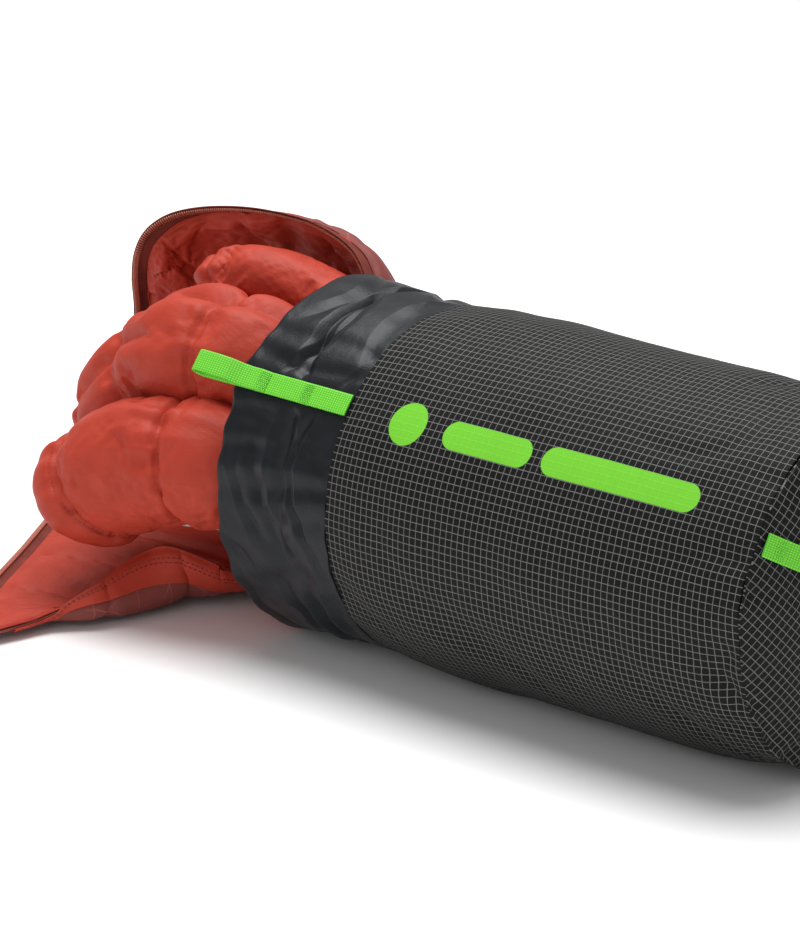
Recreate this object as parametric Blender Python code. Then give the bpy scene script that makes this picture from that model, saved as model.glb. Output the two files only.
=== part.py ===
"""Camp quilt, half pulled out of its stuff sack: each sewn piece a closed solid of its own.

Metres, +Z up. The sack lies along X with its mouth towards -X, on a floor at z = 0.
The quilt leaves the mouth: a zipped hood stands at the back, folds lie in front of it,
and one corner flap lies on the floor.
"""
import math

import bmesh
import bpy
import numpy as np
from mathutils import Matrix, Vector

# ---- driving dimensions ----
GAP = 0.0003            # between two fabrics that touch
CUT_GAP = 0.0004        # left by a boolean between two folds that press together
LAYER_GAP = 0.0005      # between the quilt's lining, fill and shell

SACK_R = 0.0995         # sack radius at the collar seam
SACK_Z = 0.098          # height of the sack's axis: its underside is pressed flat on the floor
BODY_LEN = 0.280        # collar seam to base seam
COLLAR_LEN = 0.082      # collar seam to mouth
SEAM_X = -0.0010        # the collar seam lies just off the origin, which is on the body's underside
BASE_DOME = 0.016       # how far the base panel swells out
WALL = 0.0010           # sack fabric with its coating
SACK_SIDES = 44
SEAM_W = 0.008          # bound seam allowance inside the sack
SEAM_T = 0.0010
HEM_W = 0.012           # turned hem at the mouth

WEB_W = 0.0127          # half-inch webbing
WEB_T = 0.0014
STRAP_DEG = 52.0        # where the pull strap runs, from the top towards -Y
LOOP_LEN = 0.040        # free folded loop past its last bar tack
LOOP_GAP = 0.0075       # open height inside the folded loop
HANDLE_DEG = 60.0       # where the base handle starts, from the top towards -Y
HANDLE_RISE = 0.020     # clear height of the handle over the middle of the base
HANDLE_TAB = 0.022      # sewn end of the handle
TACK_L = 0.010          # bar-tacked box
TACK_T = 0.0006

CORE_R = 0.0956         # stuffed quilt inside the sack
CORE_END = 0.272        # its end at the base
CORE_FRONT = -0.100     # its end past the mouth
PULL_OUT = 0.375        # travel that frees the quilt

CLOTH = 0.0008          # shell and lining, with the fill's scrim
HOOD_HALF = 0.0085      # half the hood's thickness
FLAP_HALF = 0.0052      # half the flap's thickness
EDGE_HALF = 0.0016      # half the thickness where the edge is sewn
ZIP_TAPE_W = 0.0088     # visible tape from the quilt's edge to the coil's far side
ZIP_TAPE_T = 0.0006
COIL_W = 0.0036
COIL_T = 0.0017
SLIDER_AT = 18.45 / 19  # where the slider is parked, as a share of the zip

# ---- the quilt's loose end ----
ZIP_PATH = [            # outer edge of the half zip: out of the mouth, over the hood, down, to the corner
    (-0.090, 0.036, 0.186), (-0.112, 0.044, 0.204), (-0.140, 0.045, 0.214), (-0.166, 0.040, 0.218),
    (-0.193, 0.035, 0.218), (-0.221, 0.030, 0.214), (-0.240, 0.022, 0.208), (-0.252, 0.015, 0.198),
    (-0.259, 0.012, 0.184), (-0.270, 0.020, 0.164), (-0.287, 0.038, 0.137), (-0.304, 0.052, 0.108),
    (-0.322, 0.057, 0.068), (-0.336, 0.048, 0.028), (-0.334, 0.020, 0.0095), (-0.314, -0.016, 0.0085),
    (-0.286, -0.0615, 0.0085), (-0.262, -0.103, 0.0085), (-0.238, -0.1445, 0.0085), (-0.214, -0.186, 0.0085)]
ZIP_IN = [              # way from the zip into the quilt at the same points
    (0.0, 0.9, -0.5), (0.0, 0.9, -0.4), (0.0, 0.9, -0.4), (0.0, 0.9, -0.45),
    (0.05, 0.9, -0.5), (0.2, 0.9, -0.5), (0.4, 0.8, -0.5), (0.5, 0.7, -0.5),
    (0.5, 0.8, -0.3), (0.4, 0.9, -0.1), (0.4, 0.9, 0.1), (0.4, 0.9, 0.15),
    (0.45, 0.85, 0.1), (0.6, 0.7, 0.0), (0.9, 0.35, 0.0), (0.9, 0.4, 0.0),
    (0.86, 0.5, 0.0), (0.86, 0.5, 0.0), (0.86, 0.5, 0.0), (0.86, 0.5, 0.0)]
FLAP_TURN = 0.30        # share of the flap's section that stands up to the hem
FLAP_BOW = 0.020        # how far the flap bows back to the hood's foot under the folds
HOOD_GRID = (34, 9)
FLAP_GRID = (22, 13)
ZIP_STEPS = 75
HOOD_SIDE, FLAP_SIDE = 1, -1    # which way their linings face
HOOD_END = 14           # point of the zip where the hood reaches the floor and the flap begins
HOOD_BACK = [(-0.088, 0.089, 0.130), (-0.130, 0.112, 0.150), (-0.180, 0.118, 0.155), (-0.230, 0.108, 0.145),
             (-0.265, 0.100, 0.120), (-0.295, 0.094, 0.090), (-0.315, 0.080, 0.040)]
HOOD_FOOT = [(-0.088, 0.070, 0.042), (-0.130, 0.085, 0.016), (-0.180, 0.090, 0.013), (-0.225, 0.085, 0.012),
             (-0.255, 0.078, 0.012), (-0.280, 0.064, 0.012), (-0.300, 0.045, 0.012)]
HEM = [(-0.096, 0.040, 0.013), (-0.128, -0.040, 0.027), (-0.134, -0.050, 0.033), (-0.155, -0.065, 0.042),
       (-0.167, -0.072, 0.038), (-0.173, -0.084, 0.032), (-0.178, -0.107, 0.021), (-0.184, -0.136, 0.011),
       (-0.190, -0.167, 0.0088), (-0.196, -0.198, 0.0085)]
TURN = [(-0.106, 0.064, 0.0085), (-0.136, -0.012, 0.0078), (-0.141, -0.038, 0.0078),
        (-0.144, -0.056, 0.0075), (-0.149, -0.075, 0.0075), (-0.154, -0.090, 0.0075),
        (-0.163, -0.112, 0.0078), (-0.194, -0.139, 0.0085), (-0.198, -0.166, 0.0085),
        (-0.199, -0.193, 0.0085)]
FOLD_UPPER = [(-0.080, -0.020, 0.128), (-0.115, -0.030, 0.148), (-0.150, -0.034, 0.150),
              (-0.185, -0.030, 0.135), (-0.218, -0.024, 0.106), (-0.248, -0.016, 0.072)]
FOLD_FRONT = [(-0.080, -0.052, 0.085), (-0.115, -0.066, 0.098), (-0.155, -0.075, 0.096),
              (-0.193, -0.080, 0.077), (-0.220, -0.080, 0.053)]
FOLD_INNER = [(-0.080, 0.022, 0.160), (-0.120, 0.030, 0.172), (-0.165, 0.024, 0.180), (-0.205, 0.014, 0.172)]
FOLD_UPPER_R = (0.039, 0.035)
FOLD_FRONT_R = (0.037, 0.037)
FOLD_INNER_R = (0.022, 0.019)

MATERIALS = {           # base colour, roughness, metallic
    "ripstop_black": ((0.030, 0.028, 0.030), 0.62, 0.0),
    "collar_nylon": ((0.085, 0.098, 0.115), 0.45, 0.0),
    "lime_webbing": ((0.190, 0.660, 0.035), 0.80, 0.0),
    "stitching": ((0.130, 0.520, 0.030), 0.85, 0.0),
    "red_lining": ((0.620, 0.085, 0.045), 0.55, 0.0),
    "printed_shell": ((0.220, 0.055, 0.045), 0.60, 0.0),
    "polyester_fill": ((0.800, 0.790, 0.770), 0.95, 0.0),
    "hem_tape": ((0.560, 0.075, 0.040), 0.70, 0.0),
    "zip_tape": ((0.170, 0.030, 0.026), 0.80, 0.0),
    "zip_coil": ((0.330, 0.085, 0.065), 0.35, 0.0),
    "slider_metal": ((0.050, 0.046, 0.045), 0.35, 1.0),
}


def clear_scene():
    for obj in list(bpy.data.objects):
        bpy.data.objects.remove(obj, do_unlink=True)
    for store in (bpy.data.meshes, bpy.data.materials):
        for block in list(store):
            store.remove(block)


def material(name):
    mat = bpy.data.materials.get(name)
    if mat is None:
        colour, rough, metal = MATERIALS[name]
        mat = bpy.data.materials.new(name)
        mat.use_nodes = True
        shader = mat.node_tree.nodes["Principled BSDF"]
        shader.inputs["Base Color"].default_value = (*colour, 1.0)
        shader.inputs["Roughness"].default_value = rough
        shader.inputs["Metallic"].default_value = metal
    return mat


def add_mesh(name, verts, faces, mat, smooth=True):
    mesh = bpy.data.meshes.new(name)
    mesh.from_pydata([tuple(map(float, v)) for v in verts], [], faces)
    work = bmesh.new()
    work.from_mesh(mesh)
    bmesh.ops.recalc_face_normals(work, faces=work.faces)
    work.to_mesh(mesh)
    work.free()
    for poly in mesh.polygons:
        poly.use_smooth = smooth
    obj = bpy.data.objects.new(name, mesh)
    bpy.context.scene.collection.objects.link(obj)
    mesh.materials.append(material(mat))
    return obj


def mark_origin(obj, point):
    """Put the object's origin on its joint, leaving the solid where it is."""
    offset = Vector(map(float, point))
    obj.data.transform(Matrix.Translation(-offset))
    obj.location = offset


def spline(points, t):
    """Point at t (0 to 1) of a smooth curve through evenly spaced points."""
    pts = np.asarray(points, float)
    last = len(pts) - 1
    x = min(max(t, 0.0), 1.0) * last
    i = min(int(x), last - 1)
    f = x - i
    p1, p2 = pts[i], pts[i + 1]
    p0 = pts[i - 1] if i > 0 else 2 * p1 - p2
    p3 = pts[i + 2] if i + 2 <= last else 2 * p2 - p1
    return 0.5 * (2 * p1 + (p2 - p0) * f + (2 * p0 - 5 * p1 + 4 * p2 - p3) * f ** 2
                  + (3 * p1 - p0 - 3 * p2 + p3) * f ** 3)


def unit(v):
    v = np.asarray(v, float)
    return v / np.linalg.norm(v)


def slab_faces(nu, nv):
    """Faces of a closed slab from two grids of nu by nv points, the second after the first.

    Both grids split their quads the same way, so that stacked layers stay parallel.
    """
    n = nu * nv
    faces = []
    for i in range(nu - 1):
        for j in range(nv - 1):
            a, b, c, d = i * nv + j, (i + 1) * nv + j, (i + 1) * nv + j + 1, i * nv + j + 1
            faces += [(a, b, c), (a, c, d), (n + c, n + b, n + a), (n + d, n + c, n + a)]
    for i in range(nu - 1):
        a, b = i * nv, (i + 1) * nv
        faces += [(a, n + a, n + b, b), (b + nv - 1, n + b + nv - 1, n + a + nv - 1, a + nv - 1)]
    for j in range(nv - 1):
        a, b = j, j + 1
        c, d = (nu - 1) * nv + j, (nu - 1) * nv + j + 1
        faces += [(b, n + b, n + a, a), (c, n + c, n + d, d)]
    return faces


def slab(name, surface, nu, nv, low, high, mat):
    """Closed slab between two offsets of surface(u, v); low and high are functions of u and v."""
    grid = np.array([[surface(i / (nu - 1), j / (nv - 1)) for j in range(nv)] for i in range(nu)])
    du = np.gradient(grid, axis=0)
    dv = np.gradient(grid, axis=1)
    normal = np.cross(du, dv)
    normal /= np.linalg.norm(normal, axis=2, keepdims=True)
    lows = np.array([[low(i / (nu - 1), j / (nv - 1)) for j in range(nv)] for i in range(nu)])
    highs = np.array([[high(i / (nu - 1), j / (nv - 1)) for j in range(nv)] for i in range(nu)])
    bottom = grid + normal * lows[..., None]
    top = grid + normal * highs[..., None]
    verts = np.concatenate([bottom.reshape(-1, 3), top.reshape(-1, 3)])
    return add_mesh(name, verts, slab_faces(nu, nv), mat)


def ring_solid(name, rings, mat, closed_loop=False, flat_caps=False):
    """Solid from a list of equal closed rings; capped at both ends, or joined end to end."""
    count = len(rings[0])
    verts = [p for ring in rings for p in ring]
    faces = []
    for i in range(len(rings) if closed_loop else len(rings) - 1):
        a, b = i * count, ((i + 1) % len(rings)) * count
        for j in range(count):
            k = (j + 1) % count
            faces += [(a + j, b + j, b + k), (a + j, b + k, a + k)]
    if flat_caps:
        top = (len(rings) - 1) * count
        faces += [tuple(range(count)), tuple(top + j for j in reversed(range(count)))]
    elif not closed_loop:
        for base, turn in ((0, 1), ((len(rings) - 1) * count, -1)):
            centre = np.mean(verts[base:base + count], axis=0)
            verts.append(centre)
            for j in range(count):
                k = (j + 1) % count
                tri = (base + j, base + k, len(verts) - 1)
                faces.append(tri[::turn])
    return add_mesh(name, verts, faces, mat)


# ---- sack ----
SACK_PROFILE = [        # share of the collar or body length, share added to the radius
    (-1.0, 0.042), (-0.78, 0.036), (-0.35, 0.018), (-0.05, 0.002), (0.0, 0.0), (0.0143, 0.004), (0.08, 0.022),
    (0.25, 0.030), (0.50, 0.028), (0.75, 0.018), (0.92, 0.0), (0.97, -0.018), (1.0, -0.030)]


def profile_x(share):
    return share * (COLLAR_LEN if share < 0 else BODY_LEN)


def sack_radius(x):
    """Outside radius of the sack: the collar flares, the body swells between its two seams."""
    xs = [profile_x(f) for f, _ in SACK_PROFILE]
    return SACK_R * (1 + float(np.interp(x, xs, [g for _, g in SACK_PROFILE])))


def stations(low, high):
    """Stations from low to high, with the profile's own corners between them."""
    return [low] + [profile_x(f) for f, _ in SACK_PROFILE if low + 1e-4 < profile_x(f) < high - 1e-4] + [high]


def sack_point(x, angle, inset):
    """Point of a sack ring, inset from the outside and pressed flat at the floor."""
    r = sack_radius(x) - inset
    return np.array([x, -r * math.sin(angle), max(SACK_Z + r * math.cos(angle), inset)])


def sack_tube(name, low, high, outer, inner, mat, segments=SACK_SIDES):
    """Tube wall between two insets, from low to high along the sack."""
    xs = stations(low, high)
    rings = [[sack_point(x, 2 * math.pi * k / segments, outer) for k in range(segments)] for x in xs]
    rings += [[sack_point(x, 2 * math.pi * k / segments, inner) for k in range(segments)] for x in xs[::-1]]
    return ring_solid(name, rings, mat, closed_loop=True)


def build_sack():
    inner, bound = WALL + GAP, WALL + GAP + SEAM_T
    sack_tube("sack_body", SEAM_X + GAP / 2, BODY_LEN, 0.0, WALL, "ripstop_black")
    sack_tube("sack_collar", -COLLAR_LEN, SEAM_X - GAP / 2, 0.0, WALL, "collar_nylon")
    sack_tube("collar_seam", SEAM_X - SEAM_W / 2, SEAM_X + SEAM_W / 2, inner, bound, "ripstop_black")
    sack_tube("base_seam", BODY_LEN - SEAM_W, BODY_LEN - 0.0005, inner, bound, "ripstop_black")
    sack_tube("mouth_hem", -COLLAR_LEN, HEM_W - COLLAR_LEN, inner, bound, "collar_nylon")
    base_panel()


def base_x(rho):
    """Outside of the domed base panel at a share rho of its radius."""
    return BODY_LEN + GAP + WALL + BASE_DOME * (1 - rho ** 2.4)


def base_panel(segments=SACK_SIDES, steps=6):
    """Domed disc with a rolled edge that meets the body's end."""
    def ring(rho, back):
        out = []
        for k in range(segments):
            p = sack_point(BODY_LEN, 2 * math.pi * k / segments, 0.0)
            centre = np.array([0.0, 0.0, SACK_Z])
            q = centre + (p - centre) * rho
            out.append(np.array([base_x(rho) - back, q[1], q[2]]))
        return out
    rhos = [k / steps for k in range(1, steps + 1)]
    rings = [ring(r, WALL) for r in rhos] + [ring(r, 0.0) for r in reversed(rhos)]
    return ring_solid("sack_base", rings, "ripstop_black")


# ---- webbing ----
def strap_point(x, across, lift):
    """Point of the pull strap's frame: along the sack, across the strap, off the fabric."""
    a = math.radians(STRAP_DEG)
    out = np.array([0.0, -math.sin(a), math.cos(a)])
    side = np.array([0.0, -math.cos(a), -math.sin(a)])
    r = sack_radius(x) + lift
    return np.array([x, 0.0, SACK_Z]) + out * r + side * across


def strip(name, path, width, thick, mat, place):
    """Closed strip along a path of (along, lift) pairs in a placing frame."""
    path = np.asarray(path, float)
    step = np.gradient(path, axis=0)
    step /= np.linalg.norm(step, axis=1, keepdims=True)
    normal = np.stack([-step[:, 1], step[:, 0]], axis=1)
    rings = []
    for (x, h), (nx, nh) in zip(path, normal * thick / 2):
        half = width / 2
        rings.append([place(x - nx, -half, h - nh), place(x - nx, half, h - nh),
                      place(x + nx, half, h + nh), place(x + nx, -half, h + nh)])
    return ring_solid(name, rings, mat)


def build_pull_strap():
    """Strap sewn along the collar, two bar tacks, and the free folded loop past the mouth."""
    seat = 0.0005 + WEB_T / 2       # a flat strip on a round sack: its edges stand off further
    start, end = -0.004, 0.014 - COLLAR_LEN
    strip("pull_strap", [(start + (end - start) * k / 8, seat) for k in range(9)], WEB_W, WEB_T,
          "lime_webbing", strap_point)
    for label, x in (("tack_seam", -0.036), ("tack_mouth", end + 0.001)):
        lift = seat + WEB_T / 2 + GAP + TACK_T / 2
        strip(label, [(x + TACK_L * k / 2, lift) for k in range(3)], WEB_W - 0.002, TACK_T, "stitching",
              strap_point)
    root = end - GAP
    tip = root - LOOP_LEN
    bend = (LOOP_GAP + WEB_T) / 2
    path = [(root, seat), (root - 0.006, seat), (root - 0.014, seat), (root - 0.026, seat + 0.0004),
            (tip + bend, seat + 0.0008)]
    for k in range(1, 8):
        turn = math.pi * k / 8
        path.append((tip + bend - bend * math.sin(turn), seat + 0.0008 + bend - bend * math.cos(turn)))
    path += [(tip + bend, seat + 0.0008 + 2 * bend), (root - 0.024, seat + 2 * bend),
             (root - 0.016, seat + 1.55 * bend), (root - 0.009, seat + WEB_T + 0.0016),
             (root - 0.004, seat + WEB_T + GAP), (root, seat + WEB_T + GAP)]
    loop = strip("pull_loop", path, WEB_W, WEB_T, "lime_webbing", strap_point)
    mark_origin(loop, strap_point(root, 0.0, seat + 1.5 * WEB_T + GAP))


def handle_point(along, across, lift):
    """Point of the base handle's frame: along its diameter, across the webbing, out of the base."""
    a = math.radians(HANDLE_DEG)
    run = np.array([0.0, math.sin(a), -math.cos(a)])
    side = np.array([0.0, math.cos(a), math.sin(a)])
    return np.array([BODY_LEN + lift, 0.0, SACK_Z]) + run * along + side * across


def panel_lift(s):
    """Outside of the base panel above the base seam, at s along the handle's diameter."""
    return base_x(min(1.0, abs(s) / (SACK_R - 0.0025))) - BODY_LEN


HANDLE_EDGE = SACK_R - 0.0060            # where the webbing leaves the base seam
HANDLE_ROOT = HANDLE_EDGE - HANDLE_TAB   # where the free arch begins


def handle_lift(s):
    """Underside of the handle above the base seam, at s along its diameter."""
    stand = 0.0006 + 0.0034 * max(0.0, 1 - max(0.0, abs(s) - HANDLE_ROOT) / HANDLE_TAB) ** 2
    f = max(0.0, 1 - (abs(s) / HANDLE_ROOT) ** 2)
    return panel_lift(s) + stand + (HANDLE_RISE - 0.004) * f ** 0.8


def upright(s, thick):
    """Thickness along the sack of webbing that slopes at s."""
    slope = (handle_lift(s + 1e-4) - handle_lift(s - 1e-4)) / 2e-4
    return thick * math.sqrt(1 + min(slope * slope, 4.0))


def tack_lift(s):
    return handle_lift(s) + upright(s, WEB_T) + GAP


def upright_strip(name, samples, width, thick, mat, lift):
    """Strip whose end faces stand square to its run, so that it turns about that line cleanly."""
    rings = []
    half = width / 2
    for s in samples:
        low, high = lift(s), lift(s) + upright(s, thick)
        rings.append([handle_point(s, -half, low), handle_point(s, half, low),
                      handle_point(s, half, high), handle_point(s, -half, high)])
    return ring_solid(name, rings, mat)


def build_handle():
    for label, sign in (("front", -1), ("back", 1)):
        span = [sign * (HANDLE_ROOT + GAP + (HANDLE_TAB - GAP) * k / 6) for k in range(7)]
        upright_strip(f"handle_end_{label}", sorted(span), WEB_W, WEB_T, "lime_webbing", handle_lift)
        mid = [sign * (HANDLE_EDGE - 0.004 - TACK_L * k / 3) for k in range(4)]
        upright_strip(f"handle_tack_{label}", sorted(mid), WEB_W - 0.002, TACK_T, "stitching", tack_lift)
    span = [-HANDLE_ROOT + 2 * HANDLE_ROOT * k / 28 for k in range(29)]
    arch = upright_strip("base_handle", span, WEB_W, WEB_T, "lime_webbing", handle_lift)
    mark_origin(arch, handle_point(0.0, 0.0, handle_lift(HANDLE_ROOT) + WEB_T / 2))


# ---- quilt ----
def core_ring(x, r, floor, segments=SACK_SIDES):
    ring = []
    for k in range(segments):
        a = 2 * math.pi * k / segments
        ring.append(np.array([x, -r * math.sin(a), max(SACK_Z + r * math.cos(a), floor)]))
    return ring


def core_rings(grow=0.0):
    """Rings of the stuffed mass, rounded at both ends."""
    front, back, full = CORE_FRONT - grow, CORE_END + grow, CORE_R + grow
    rings = []
    for k in range(6):
        f = math.pi / 2 * k / 5
        rings.append((front + 0.018 * (1 - math.cos(f)), full - 0.030 * (1 - math.sin(f))))
        rings.append((back - 0.020 * (1 - math.cos(f)), full - 0.024 * (1 - math.sin(f))))
    rings += [(x, full) for x in (0.0, 0.08, 0.16)]
    floor = WALL + 2 * GAP + SEAM_T - grow
    return [core_ring(x, r, floor) for x, r in sorted(rings)]


def tube_rings(path, radii, grow=0.0, steps=16, segments=20, start_flat=0.55):
    """Rings of a fat fold along a path, rounded at its far end."""
    rings = []
    for i in range(steps):
        t = i / (steps - 1)
        here = spline(path, t)
        run = unit(spline(path, min(1.0, t + 0.01)) - spline(path, max(0.0, t - 0.01)))
        side = unit(np.cross((0, 0, 1), run))
        up = np.cross(run, side)
        far = math.sqrt(max(0.0, 1 - max(0.0, (t - 0.80) / 0.20) ** 2.2))
        near = min(1.0, start_flat + (1 - start_flat) * math.sin(min(1.0, t / 0.3) * math.pi / 2))
        size = max(0.12, far * near)
        wide, high = radii[0] * size + grow, radii[1] * size + grow
        turns = [2 * math.pi * k / segments for k in range(segments)]
        rings.append([here + side * math.cos(a) * wide + up * math.sin(a) * high for a in turns])
    if grow:
        rings.insert(0, [p - unit(spline(path, 0.02) - spline(path, 0.0)) * grow for p in rings[0]])
        rings.append([p + unit(spline(path, 1.0) - spline(path, 0.98)) * grow for p in rings[-1]])
    return rings


def zip_frame(t):
    """Point of the zip, the way into the quilt and the face normal, at t along the zip."""
    here = spline(ZIP_PATH, t)
    run = unit(spline(ZIP_PATH, min(1.0, t + 0.004)) - spline(ZIP_PATH, max(0.0, t - 0.004)))
    inward = spline(ZIP_IN, t)
    inward = unit(inward - run * np.dot(inward, run))
    return here, inward, unit(np.cross(run, inward))


ZIP_SPAN = len(ZIP_PATH) - 1
HOOD_T = HOOD_END / ZIP_SPAN             # the hood's share of the zip


def hood_surface(u, v):
    """Middle surface of the hood: from the zip's edge over the back to the foot on the floor."""
    here, inward, _ = zip_frame(u * HOOD_T)
    edge = here + inward * (ZIP_TAPE_W + 2 * GAP)
    back, foot = spline(HOOD_BACK, u), spline(HOOD_FOOT, u)
    near = edge + inward * 0.022
    pts = [edge, near, back, foot]
    w = [(1 - v) ** 3, 3 * v * (1 - v) ** 2, 3 * v ** 2 * (1 - v), v ** 3]
    return sum(p * k for p, k in zip(pts, w))


def flap_section(u, v):
    hem, turn = spline(HEM, u), spline(TURN, u)
    if v < FLAP_TURN:
        f = v / FLAP_TURN
        bow = unit((0.5, -0.5, -0.2)) * 0.004 * math.sin(math.pi * f) * (1 - u)
        return hem + (turn - hem) * f + bow
    here, inward, _ = zip_frame(HOOD_T + (1 - HOOD_T) * (0.16 + 0.84 * u))
    back = here + inward * (ZIP_TAPE_W + 2 * GAP)
    f = (v - FLAP_TURN) / (1 - FLAP_TURN)
    return turn + (back - turn) * f + np.array([0.0, FLAP_BOW * math.sin(math.pi * f) * (1 - u) ** 4, 0.0])


def flap_surface(u, v):
    """Middle surface of the corner flap: from its curled hem down to the floor and back to the zip."""
    reach = min(0.15, v, 1 - v)
    return sum(flap_section(u, v + reach * k / 3) for k in range(-3, 4)) / 7


def edge_half(half, u, v):
    """Half thickness of the quilt: full inside, thin at sewn edges and towards the zip's floor end."""
    near = min(1.0, v / 0.12, (1 - v) / 0.12)
    ends = min(1.0, u / 0.04, (1 - u) / 0.04)
    soft = math.sin(max(0.0, min(near, 0.35 + 0.65 * ends)) * math.pi / 2)
    late = min(1.0, max(0.0, (u - 0.55) / 0.30))
    return EDGE_HALF + (half - EDGE_HALF) * soft * (1 - 0.7 * late * late * (3 - 2 * late))


def layers(prefix, surface, nu, nv, half, inner_mat, outer_mat, side, fill_from=0):
    """Lining, fill and shell of one stretch of quilt; side is +1 where the lining is on the normal.

    The fill keeps the cloth's own stations, and starts at column fill_from where a hem has none.
    """
    first = fill_from / (nv - 1)

    def offset(k):
        return lambda u, v: k * side * edge_half(half, u, v)

    def shifted(k, extra):
        return lambda u, v: side * (k * edge_half(half, u, v) + extra)

    def filled(k):
        off = shifted(k, -k * (CLOTH + LAYER_GAP))
        return lambda u, v: off(u, first + (1 - first) * v)
    lining = slab(f"{prefix}_lining", surface, nu, nv, offset(1), shifted(1, -CLOTH), inner_mat)
    fill = slab(f"{prefix}_fill", lambda u, v: surface(u, first + (1 - first) * v), nu, nv - fill_from,
                filled(1), filled(-1), "polyester_fill")
    shell = slab(f"{prefix}_shell", surface, nu, nv, shifted(-1, CLOTH), offset(-1), outer_mat)
    return [lining, fill, shell]


def combine(obj, tools, operation="DIFFERENCE"):
    """Cut the tools out of a piece, or join them to it; the tools themselves aren't part of the object."""
    for tool in tools:
        tool.hide_render = True
        tool.display_type = "WIRE"
        mod = obj.modifiers.new(f"{operation.lower()}_{tool.name}", "BOOLEAN")
        mod.operation = operation
        mod.solver = "EXACT"
        mod.object = tool


def zip_band(name, first, last, columns, w0, w1, low, high, mat, crown=0.0):
    """Closed band along the zip, between two of its stations and two distances in from its edge."""
    def surface(u, v):
        here, inward, _ = zip_frame((first + (last - first) * u) / ZIP_STEPS)
        return here + inward * (w0 + (w1 - w0) * v)
    return slab(name, surface, last - first + 1, columns, lambda u, v: low,
                lambda u, v: high + (crown if 0 < v < 1 else 0.0), mat)


def build_zip():
    """Half zip: tape, coil and end stop, along the hood's rim and the flap's edge."""
    half = ZIP_TAPE_T / 2
    zip_band("zip_tape", 0, ZIP_STEPS, 3, 0.0, ZIP_TAPE_W, -half, half, "zip_tape")
    low = half + 2 * GAP
    zip_band("zip_coil", 0, ZIP_STEPS - 2, 3, 0.0002, COIL_W, low, low + 0.6 * COIL_T, "zip_coil",
             0.4 * COIL_T)
    zip_band("zip_stop", ZIP_STEPS - 1, ZIP_STEPS, 3, 0.0002, COIL_W, low, low + COIL_T, "zip_coil", 0.0002)


def prism(name, outline, low, high, place, mat):
    """Outline of (a, b) pairs run from low to high along the third direction of a placing frame."""
    return ring_solid(name, [[place(a, b, c) for a, b in outline] for c in (low, high)], mat, flat_caps=True)


def build_slider():
    """Slider on the half zip near the corner, with a bridge on top and a pull tab hinged under it."""
    here, inward, normal = zip_frame(SLIDER_AT)
    run = np.cross(inward, normal)
    top = ZIP_TAPE_T / 2 + 2 * GAP + COIL_T + GAP

    def across(a, b, c):
        return here + inward * a + normal * b + run * c

    def along(a, b, c):
        return here + run * a + normal * b + inward * c
    plate, low = 0.0010, -ZIP_TAPE_T / 2 - GAP
    outline = [(-0.0016, low - plate), (0.0070, low - plate), (0.0070, low), (-0.0005, low), (-0.0005, top),
               (0.0070, top), (0.0070, top + plate), (-0.0016, top + plate)]
    slider = prism("zip_slider", outline, -0.0045, 0.0045, across, "slider_metal")
    base, mid = top + plate, 0.0027
    bridge = [(-0.0030, base - 0.0003), (-0.0019, base - 0.0003), (-0.0019, base + 0.0015),
              (0.0019, base + 0.0015), (0.0019, base - 0.0003), (0.0030, base - 0.0003),
              (0.0030, base + 0.0025), (-0.0030, base + 0.0025)]
    combine(slider, [prism("add_bridge", bridge, mid - 0.0008, mid + 0.0008, along, "slider_metal")], "UNION")
    hinge = base + 0.00075
    bar = 0.00045
    outer = [(-bar, mid - 0.0034), (-bar, mid + 0.0034), (0.0210, mid + 0.0024), (0.0225, mid),
             (0.0210, mid - 0.0024)]
    window = [(bar, mid - 0.0020), (bar, mid + 0.0020), (0.0060, mid + 0.0020), (0.0065, mid),
              (0.0060, mid - 0.0020)]
    rings = [[along(a, hinge + height, c) for a, c in loop]
             for loop, height in ((outer, -bar), (outer, bar), (window, bar), (window, -bar))]
    tab = ring_solid("pull_tab", rings, "slider_metal", closed_loop=True)
    for obj in (slider, tab):
        mark_origin(obj, along(0.0, hinge, mid))


def build_quilt():
    core = ring_solid("quilt_core", core_rings(), "red_lining")
    core_cut = ring_solid("cut_core", core_rings(CUT_GAP), "red_lining")
    hood = layers("hood", hood_surface, *HOOD_GRID, HOOD_HALF, "red_lining", "printed_shell", HOOD_SIDE)
    flap = layers("flap", flap_surface, *FLAP_GRID, FLAP_HALF, "red_lining", "printed_shell", FLAP_SIDE,
                  fill_from=6)
    hood_cut = cutter_slab("cut_hood", hood_surface, *HOOD_GRID, HOOD_HALF)
    flap_cut = cutter_slab("cut_flap", flap_surface, *FLAP_GRID, FLAP_HALF)
    for piece in hood + flap:
        combine(piece, [core_cut])
    cutters = [core_cut, hood_cut, flap_cut]
    front = ring_solid("fold_front", tube_rings(FOLD_FRONT, FOLD_FRONT_R), "red_lining")
    upper = ring_solid("fold_upper", tube_rings(FOLD_UPPER, FOLD_UPPER_R), "red_lining")
    inner = ring_solid("fold_inner", tube_rings(FOLD_INNER, FOLD_INNER_R), "red_lining")
    front_cut = ring_solid("cut_front", tube_rings(FOLD_FRONT, FOLD_FRONT_R, CUT_GAP), "red_lining")
    upper_cut = ring_solid("cut_upper", tube_rings(FOLD_UPPER, FOLD_UPPER_R, CUT_GAP), "red_lining")
    combine(front, cutters)
    combine(upper, cutters + [front_cut])
    combine(inner, cutters + [front_cut, upper_cut])
    hem_facing()


def cutter_slab(name, surface, nu, nv, half):
    return slab(name, surface, nu, nv, lambda u, v: -edge_half(half, u, v) - CUT_GAP,
                lambda u, v: edge_half(half, u, v) + CUT_GAP, "red_lining")


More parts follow.
